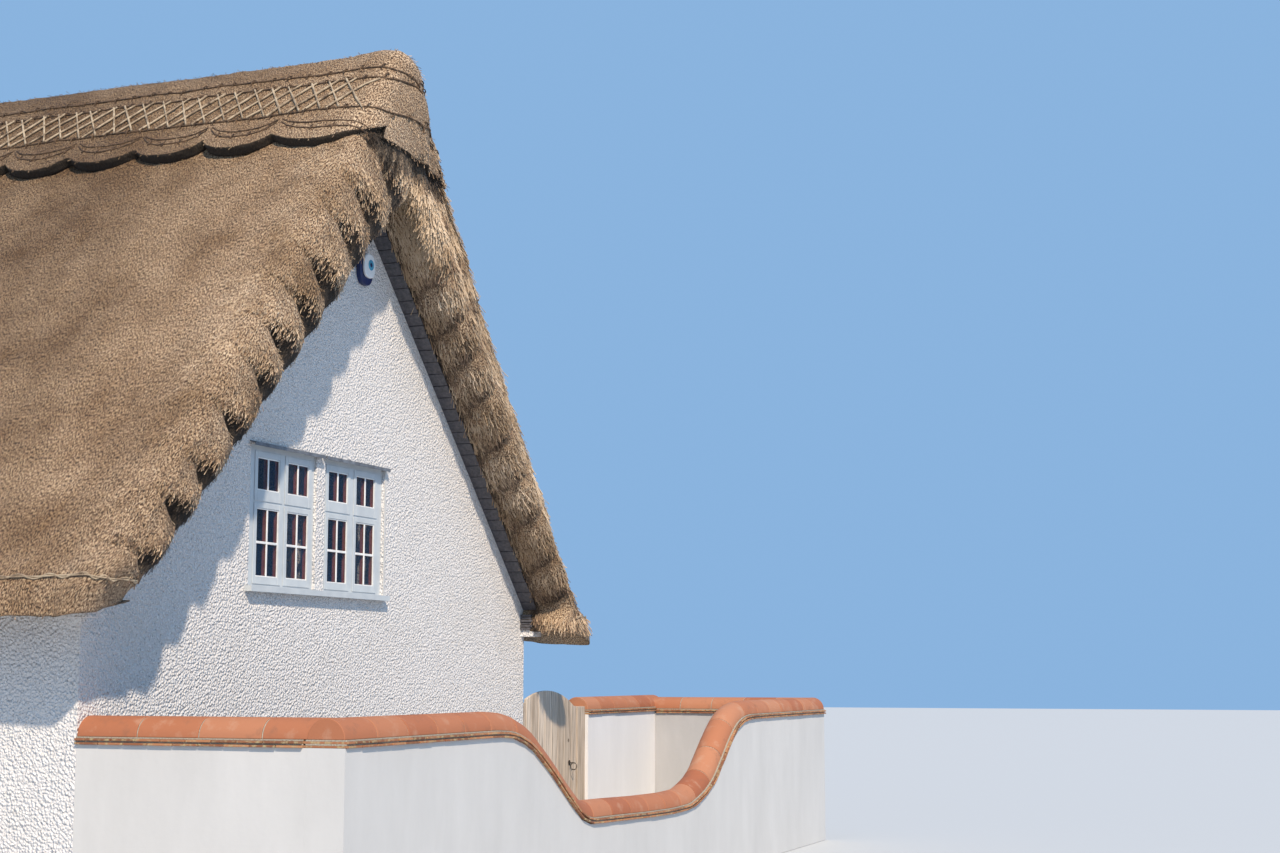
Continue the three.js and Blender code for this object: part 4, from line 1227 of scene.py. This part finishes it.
# Smooth limewashed render: matt, with faint grey runs and shallow trowel marks
limewashes = {}
for name, tones in limewash_tones.items():
    render, surface = new_material(name, 0.88)
    place = add_node(render, "TexCoord").outputs["Object"]
    runs = add_node(render, "Mapping", {"Scale": (2.2, 2.2, 0.7)}, {"Vector": place})
    stains = add_node(
        render, "TexNoise", {"Scale": 1.1, "Detail": 6.0, "Roughness": 0.6},
        {"Vector": runs.outputs["Vector"]})
    render_tone = add_node(
        render, "ValToRGB", {"stops": list(zip((0.3, 0.55, 0.75), tones))}, {"Fac": stains.outputs["Fac"]})
    trowel = add_node(render, "TexNoise", {"Scale": 22.0, "Detail": 4.0}, {"Vector": place})
    trowelled = add_node(
        render, "Bump", {"Strength": 0.25, "Distance": 0.004}, {"Height": trowel.outputs["Fac"]})
    show(render, surface, render_tone, trowelled)
    limewashes[name] = render
for wall, name in wall_finishes.items():
    dress(f"yard_{wall}_wall", limewashes[name])

# The same smooth render makes a bead beside the gable window
bead = block((bead_left, gable_face - 0.006, bead_foot), (bead_right, gable_face - fit, bead_head), 0.002, 1)
hand_over(bead, "gable_render_bead", limewashes["smooth_limewashed_render"])

# Creasing and coping
# Two courses of brown clay tiles creep 22 mm past the wall, bedded in mortar, under half-round terracotta
# coping tiles 236 mm wide and 360 mm long with 8 mm mortar joints, bent along the dip of the front wall.

crease_length, crease_width, crease_thickness = 0.160, 0.284, 0.0125
crease_pitch = 0.167
course_feet = (0.0008, 0.0232)
crease_bed_width = 0.256
crease_bed_low, crease_bed_high = 0.0129, 0.0220
coping_radius = 0.118
coping_foot = 0.0456
coping_pitch = 0.37
coping_joint = 0.008
# The joints are struck a little back from the tiles' faces
joint_setback = 0.005
strip_cut = 0.04
shortest_tile = 0.02

# Brown clay tiles: tone differs from tile to tile, with yellow grey lichen
clay, surface = new_material("lichened_clay_tile", 0.9)
tone = add_node(clay, "Attribute", {"attribute_name": "tone"})
place = add_node(clay, "TexCoord").outputs["Object"]
tile_tone = add_node(
    clay, "ValToRGB", {"stops": [(0.0, "#7d5038"), (0.5, "#9c6647"), (1.0, "#b57e58")]},
    {"Fac": tone.outputs["Fac"]})
lichen = add_node(clay, "TexNoise", {"Scale": 26.0, "Detail": 6.0, "Roughness": 0.7}, {"Vector": place})
clay_face = tint(clay, tile_tone, "#b3a57c", lichen.outputs["Fac"], 0.5, 0.62, 0.85)
clay_bump = add_node(clay, "Bump", {"Strength": 0.6, "Distance": 0.003}, {"Height": lichen.outputs["Fac"]})
show(clay, surface, clay_face, clay_bump)

# Terracotta: warm orange, a little different on each tile, worn pale in patches and dark in others
terracotta, surface = new_material("worn_terracotta", 0.82)
tone = add_node(terracotta, "Attribute", {"attribute_name": "tone"})
place = add_node(terracotta, "TexCoord").outputs["Object"]
tile_tone = add_node(
    terracotta, "ValToRGB", {"stops": [(0.0, "#9d5d3f"), (0.5, "#ab6e4e"), (1.0, "#b78061")]},
    {"Fac": tone.outputs["Fac"]})
wear = add_node(terracotta, "TexNoise", {"Scale": 7.0, "Detail": 7.0, "Roughness": 0.65}, {"Vector": place})
paler = tint(terracotta, tile_tone, "#bd9880", wear.outputs["Fac"], 0.55, 0.75, 0.6)
worn = tint(terracotta, paler, "#7c5a48", wear.outputs["Fac"], 0.42, 0.25, 0.6)
fine = add_node(terracotta, "TexNoise", {"Scale": 90.0, "Detail": 3.0}, {"Vector": place})
fired = add_node(terracotta, "Bump", {"Strength": 0.35, "Distance": 0.002}, {"Height": fine.outputs["Fac"]})
show(terracotta, surface, worn, fired)


def top_path(points):
    """A wall's top line in X and Z as lengths along it, points and normals, its bends eased."""
    points = np.array(points, float)
    lengths = np.append(0, np.cumsum(np.linalg.norm(np.diff(points, axis=0), axis=1)))
    along = np.linspace(0, lengths[-1], max(int(lengths[-1] / 0.02), 8))
    spots = np.stack([np.interp(along, lengths, points[:, k]) for k in (0, 1)], -1)
    padded = np.concatenate([2 * spots[0] - spots[4:0:-1], spots, 2 * spots[-1] - spots[-2:-6:-1]])
    spots = np.mean([padded[k:k + len(spots)] for k in range(9)], axis=0)
    way = np.gradient(spots, axis=0)
    way /= np.linalg.norm(way, axis=1, keepdims=True)
    return along, spots, np.stack([-way[:, 1], way[:, 0]], -1)


def wrapped(piece, path):
    """Bends a piece drawn along X, its foot at z 0, along a wall's top."""
    along, spots, normals = path
    places = np.zeros(len(piece.data.vertices) * 3)
    piece.data.vertices.foreach_get("co", places)
    places = places.reshape(-1, 3)
    run, height = places[:, 0], places[:, 2].copy()
    bent = [np.interp(run, along, spots[:, k]) + height * np.interp(run, along, normals[:, k])
            for k in (0, 1)]
    past_end = np.where(run > along[-1], run - along[-1], np.minimum(run, 0))
    places[:, 0] = bent[0] + past_end
    places[:, 2] = bent[1]
    piece.data.vertices.foreach_set("co", places.ravel())
    return piece


def long_strip(length, width, low, high):
    """A squared strip along X, cut across at equal steps so that it can bend."""
    strip = block((0, -width / 2, low), (length, width / 2, high), 0.001, 1)
    bpy.ops.object.mode_set(mode="EDIT")
    for x in np.arange(strip_cut, length - strip_cut / 2, strip_cut):
        bpy.ops.mesh.select_all(action="SELECT")
        bpy.ops.mesh.bisect(plane_co=(x, 0, 0), plane_no=(1, 0, 0))
    bpy.ops.object.mode_set(mode="OBJECT")
    return strip


def half_round(length, radius, ease, steps):
    """A half-round along X standing on z 0, cut across into steps."""
    start_fresh()
    bpy.ops.mesh.primitive_cylinder_add(
        vertices=32, radius=radius, depth=length, location=(length / 2, 0, 0), rotation=(0, math.pi / 2, 0))
    bpy.ops.object.transform_apply(location=True, rotation=True, scale=True)
    bpy.ops.object.mode_set(mode="EDIT")
    bpy.ops.mesh.select_all(action="SELECT")
    bpy.ops.mesh.bisect(plane_co=(0, 0, 0), plane_no=(0, 0, 1), use_fill=True, clear_inner=True)
    for k in range(1, steps):
        bpy.ops.mesh.select_all(action="SELECT")
        bpy.ops.mesh.bisect(plane_co=(length * k / steps, 0, 0), plane_no=(1, 0, 0))
    bpy.ops.object.mode_set(mode="OBJECT")
    piece = bpy.context.object
    bevel = piece.modifiers.new("ease", "BEVEL")
    bevel.width = ease
    bevel.segments = 1
    bevel.limit_method = "ANGLE"
    bevel.angle_limit = math.radians(50)
    bpy.ops.object.modifier_apply(modifier="ease")
    bpy.ops.object.shade_smooth_by_angle(angle=math.radians(35))
    return piece


def wall_top(node_name):
    """The top line of a wall along X, read from its mesh."""
    heights = {}
    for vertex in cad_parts[node_name].data.vertices:
        x, z = round(vertex.co.x, 4), vertex.co.z
        heights[x] = max(z, heights.get(x, 0))
    return sorted(heights.items())


quarter_turn = Matrix.Rotation(math.pi / 2, 4, "Z")
yard_walls = {}
for wall in ("front", "back", "left", "right"):
    low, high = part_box(f"yard_{wall}_wall")
    cap_low, cap_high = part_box(f"yard_{wall}_coping")
    crease_low, crease_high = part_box(f"yard_{wall}_creasing")
    if wall in ("front", "back"):
        path = top_path(wall_top(f"yard_{wall}_wall"))
        to_place = Matrix.Translation((0, (low.y + high.y) / 2, 0))
        spans = (0.0, path[0][-1]), (0.0, path[0][-1] + cap_high.x - high.x)
    else:
        path = top_path([(0, high.z), (crease_high.y - crease_low.y, high.z)])
        to_place = Matrix.Translation(((low.x + high.x) / 2, crease_low.y, 0)) @ quarter_turn
        spans = (0.0, path[0][-1]), (cap_low.y - crease_low.y, cap_high.y - crease_low.y)
    yard_walls[wall] = path, to_place, spans
crease_pattern = block(
    (0, -crease_width / 2, 0), (crease_length, crease_width / 2, crease_thickness), 0.002, 1)
tile_pattern = half_round(coping_pitch - coping_joint, coping_radius - 0.0008, 0.003, 9)
joint_pattern = half_round(coping_joint - 0.0006, coping_radius - joint_setback, 0.001, 1)
for wall, (path, to_place, ((start, end), (cap_start, cap_end))) in yard_walls.items():
    tiles, beds = [], []
    for course, foot in enumerate(course_feet):
        for left in np.arange(start - crease_pitch / 2 * course, end, crease_pitch):
            first, last = max(left, start), min(left + crease_length, end)
            if last - first < shortest_tile:
                continue
            tile = copy_at(crease_pattern, Matrix.Translation((first, chance.normal(0, 0.0015), foot)))
            shortened = Matrix.Diagonal(((last - first) / crease_length, 1, 1, 1))
            tile.data.transform(
                Matrix.Translation((first, 0, 0)) @ shortened @ Matrix.Translation((-first, 0, 0)))
            set_values(tile, "tone", np.full(len(tile.data.vertices), chance.uniform(0, 1)))
            tiles.append(wrapped(tile, path))
        bed = long_strip(end - start, crease_bed_width, foot + crease_bed_low, foot + crease_bed_high)
        bed.data.transform(Matrix.Translation((start, 0, 0)))
        beds.append(wrapped(bed, path))
    fix_in_place(tiles, to_place, f"yard_{wall}_creasing_tiles", clay,
                 replaced=[f"yard_{wall}_creasing"])
    fix_in_place(beds, to_place, f"yard_{wall}_creasing_mortar", mortar)
    count = max(round((cap_end - cap_start) / coping_pitch), 1)
    stretch = (cap_end - cap_start + coping_joint) / (count * coping_pitch)
    tiles, joints = [], []
    for k in range(count):
        left = cap_start + k * coping_pitch * stretch
        lay = Matrix.Translation((left, chance.normal(0, 0.0008), coping_foot))
        tile = copy_at(tile_pattern, lay @ Matrix.Diagonal((stretch, 1, 1, 1)))
        set_values(tile, "tone", np.full(len(tile.data.vertices), chance.beta(2, 2)))
        tiles.append(wrapped(tile, path))
        if k:
            lay = Matrix.Translation((left - coping_joint * stretch + 0.0003, 0, coping_foot))
            joints.append(wrapped(copy_at(joint_pattern, lay), path))
    fix_in_place(tiles, to_place, f"yard_{wall}_coping_tiles", terracotta,
                 replaced=[f"yard_{wall}_coping"])
    fix_in_place(joints, to_place, f"yard_{wall}_coping_joints", mortar)
for pattern in (crease_pattern, tile_pattern, joint_pattern):
    bpy.data.objects.remove(pattern)

# Gate
# Weathered oak boards 24 mm thick, cut to one arched head, on two ledges and a brace behind. It hangs
# on strap hinges at the house and has an iron ring latch.

board_edges = [3.21, 3.33, 3.475, 3.62, 3.765, 3.91, 4.06, 4.23, 4.345]
board_gap = 0.006
gate_foot = 0.06
gate_front = -0.13
gate_board = 0.024
arch_centre, arch_top = 3.66, 1.5
arch_foot_x, arch_foot_z = 4.3, 1.352
arch_rise = arch_top - arch_foot_z
arch_radius = ((arch_foot_x - arch_centre) ** 2 + arch_rise ** 2) / (2 * arch_rise)
knot_place = (4.165, gate_front, 1.04)
latch_x = 4.18
ring_height, ring_proud = 0.804, 0.047
ring_radius, ring_wire = 0.031, 0.005
spindle_height, spindle_proud = 0.836, 0.0244
spindle_radius, spindle_length = 0.006, 0.0475

# Weathered oak: silver grey with darker grain up the boards, and one knot above the ring
oak, surface = new_material("weathered_oak", 0.85)
tone = add_node(oak, "Attribute", {"attribute_name": "tone"})
place = add_node(oak, "TexCoord").outputs["Object"]
stretched = add_node(oak, "Mapping", {"Scale": (60.0, 60.0, 2.6)}, {"Vector": place})
grain = add_node(
    oak, "TexNoise", {"Scale": 1.0, "Detail": 5.0, "Roughness": 0.6}, {"Vector": stretched.outputs["Vector"]})
grain_tone = add_node(
    oak, "ValToRGB", {"stops": [(0.3, "#998b7d"), (0.48, "#cdbfaf"), (0.7, "#ede0d0")]},
    {"Fac": grain.outputs["Fac"]})
board_tone = add_node(
    oak, "ValToRGB", {"stops": [(0.0, "#c5bdb4"), (1.0, "#ffffff")]}, {"Fac": tone.outputs["Fac"]})
toned = add_node(
    oak, "MixRGB", {"blend_type": "MULTIPLY", "Fac": 0.6},
    {"Color1": grain_tone.outputs["Color"], "Color2": board_tone.outputs["Color"]})
knot = add_node(oak, "VectorMath", {"operation": "DISTANCE", 1: knot_place}, {0: place})
knotted = tint(oak, toned, "#4a3c30", knot.outputs["Value"], 0.022, 0.012, 0.8)
ribbed = add_node(oak, "Bump", {"Strength": 0.5, "Distance": 0.002}, {"Height": grain.outputs["Fac"]})
show(oak, surface, knotted, ribbed)


def arch_height(x):
    """The height of the gate's head at each x."""
    x = np.minimum(x, arch_foot_x)
    return arch_top - arch_radius + np.sqrt(arch_radius ** 2 - (x - arch_centre) ** 2)


to_gate = Matrix.Translation((0, gate_front + gate_board, 0)) @ Matrix.Rotation(math.pi / 2, 4, "X")
boards = []
for left, right in zip(board_edges, board_edges[1:]):
    head = np.linspace(right - board_gap / 2, left + board_gap / 2, 6)
    outline = [(head[-1], gate_foot), (head[0], gate_foot)] + list(zip(head, arch_height(head)))
    board = cut_plate(outline, gate_board, 0.0025, 1)
    board.data.transform(to_gate)
    set_values(board, "tone", np.full(len(board.data.vertices), chance.uniform(0, 1)))
    boards.append(board)
hand_over(joined(boards), "gate_oak_boards", oak, body="gate", replaced=["gate_boards"])
dress("gate_ledges", oak)
for post in ("hanging", "latch"):
    low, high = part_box(f"gate_{post}_post")
    timber = block(low, high, 0.006, 2)
    hand_over(timber, f"gate_{post}_post_timber", oak, replaced=[f"gate_{post}_post"])
for node_name in ("gate_lower_strap", "gate_upper_strap", "gate_lower_pintle", "gate_upper_pintle",
                  "gate_ring_plate"):
    dress(node_name, iron)

# Handled iron: bare and bright, rubbed smooth by hands
ring_iron = mottled(
    "handled_iron", 0.3, [(0.35, "#55504b"), (0.65, "#8d8780")], (60.0, 3.0, 0.5), metallic=0.9)

# The ring hangs edge on from a round spindle through the plate
start_fresh()
bpy.ops.mesh.primitive_torus_add(
    major_radius=ring_radius, minor_radius=ring_wire, major_segments=40, minor_segments=12,
    location=(latch_x, gate_front - ring_proud, ring_height), rotation=(0, math.pi / 2, 0))
bpy.ops.object.transform_apply(location=True, rotation=True, scale=True)
bpy.ops.object.shade_smooth()
hoop = bpy.context.object
start_fresh()
bpy.ops.mesh.primitive_cylinder_add(
    vertices=24, radius=spindle_radius, depth=spindle_length,
    location=(latch_x, gate_front - spindle_proud, spindle_height), rotation=(math.pi / 2, 0, 0))
bpy.ops.object.transform_apply(location=True, rotation=True, scale=True)
bpy.ops.object.shade_smooth_by_angle(angle=math.radians(40))
hand_over(joined([bpy.context.object, hoop]), "gate_ring_handle", ring_iron, body="gate_ring",
          replaced=["gate_ring"])

# Camera, light and floor
# A viewpoint at eye height off the left front of the gable, a warm sun lamp from high at the front left,
# an even blue surround and a pale floor.

camera_place = Vector((-12.321, -7.144, 1.654))
camera_aim = Vector((0.9263, 0.3543, 0.1283))
sun_heading = Vector((1.25, 1.0, -1.5))
sun_strength = 4.6
sun_tone = "#ffecd4"
surround_tone = "#9dcbfb"
surround_strength = 0.76
floor_size = 160

camera_data = bpy.data.cameras.new("camera")
camera_data.lens = 53.70
camera_data.sensor_width = 36
camera_data.clip_end = 400
camera = bpy.data.objects.new("camera", camera_data)
camera.location = camera_place
camera.rotation_mode = "QUATERNION"
camera.rotation_quaternion = camera_aim.to_track_quat("-Z", "Y")
bpy.context.scene.collection.objects.link(camera)
bpy.context.scene.camera = camera

sun_data = bpy.data.lights.new("key_light", "SUN")
sun_data.energy = sun_strength
sun_data.angle = math.radians(1.5)
sun_data.color = linear(sun_tone)[:3]
sun = bpy.data.objects.new("key_light", sun_data)
sun.rotation_mode = "QUATERNION"
sun.rotation_quaternion = sun_heading.to_track_quat("-Z", "Y")
bpy.context.scene.collection.objects.link(sun)

world = bpy.data.worlds.new("pale_surround")
world.use_nodes = True
background = world.node_tree.nodes["Background"]
background.inputs["Color"].default_value = linear(surround_tone)
background.inputs["Strength"].default_value = surround_strength
bpy.context.scene.world = world
bpy.context.scene.view_settings.view_transform = "Standard"

# Pale floor: matt and even, so that it carries the shadow and little else
start_fresh()
bpy.ops.mesh.primitive_plane_add(size=floor_size, location=(0, 0, -0.003))
floor = bpy.context.object
floor.name = "pale_floor"
floor_paint, surface = new_material("pale_studio_floor", 0.9)
surface.inputs["Base Color"].default_value = linear("#bfc2c4")
floor.data.materials.append(floor_paint)
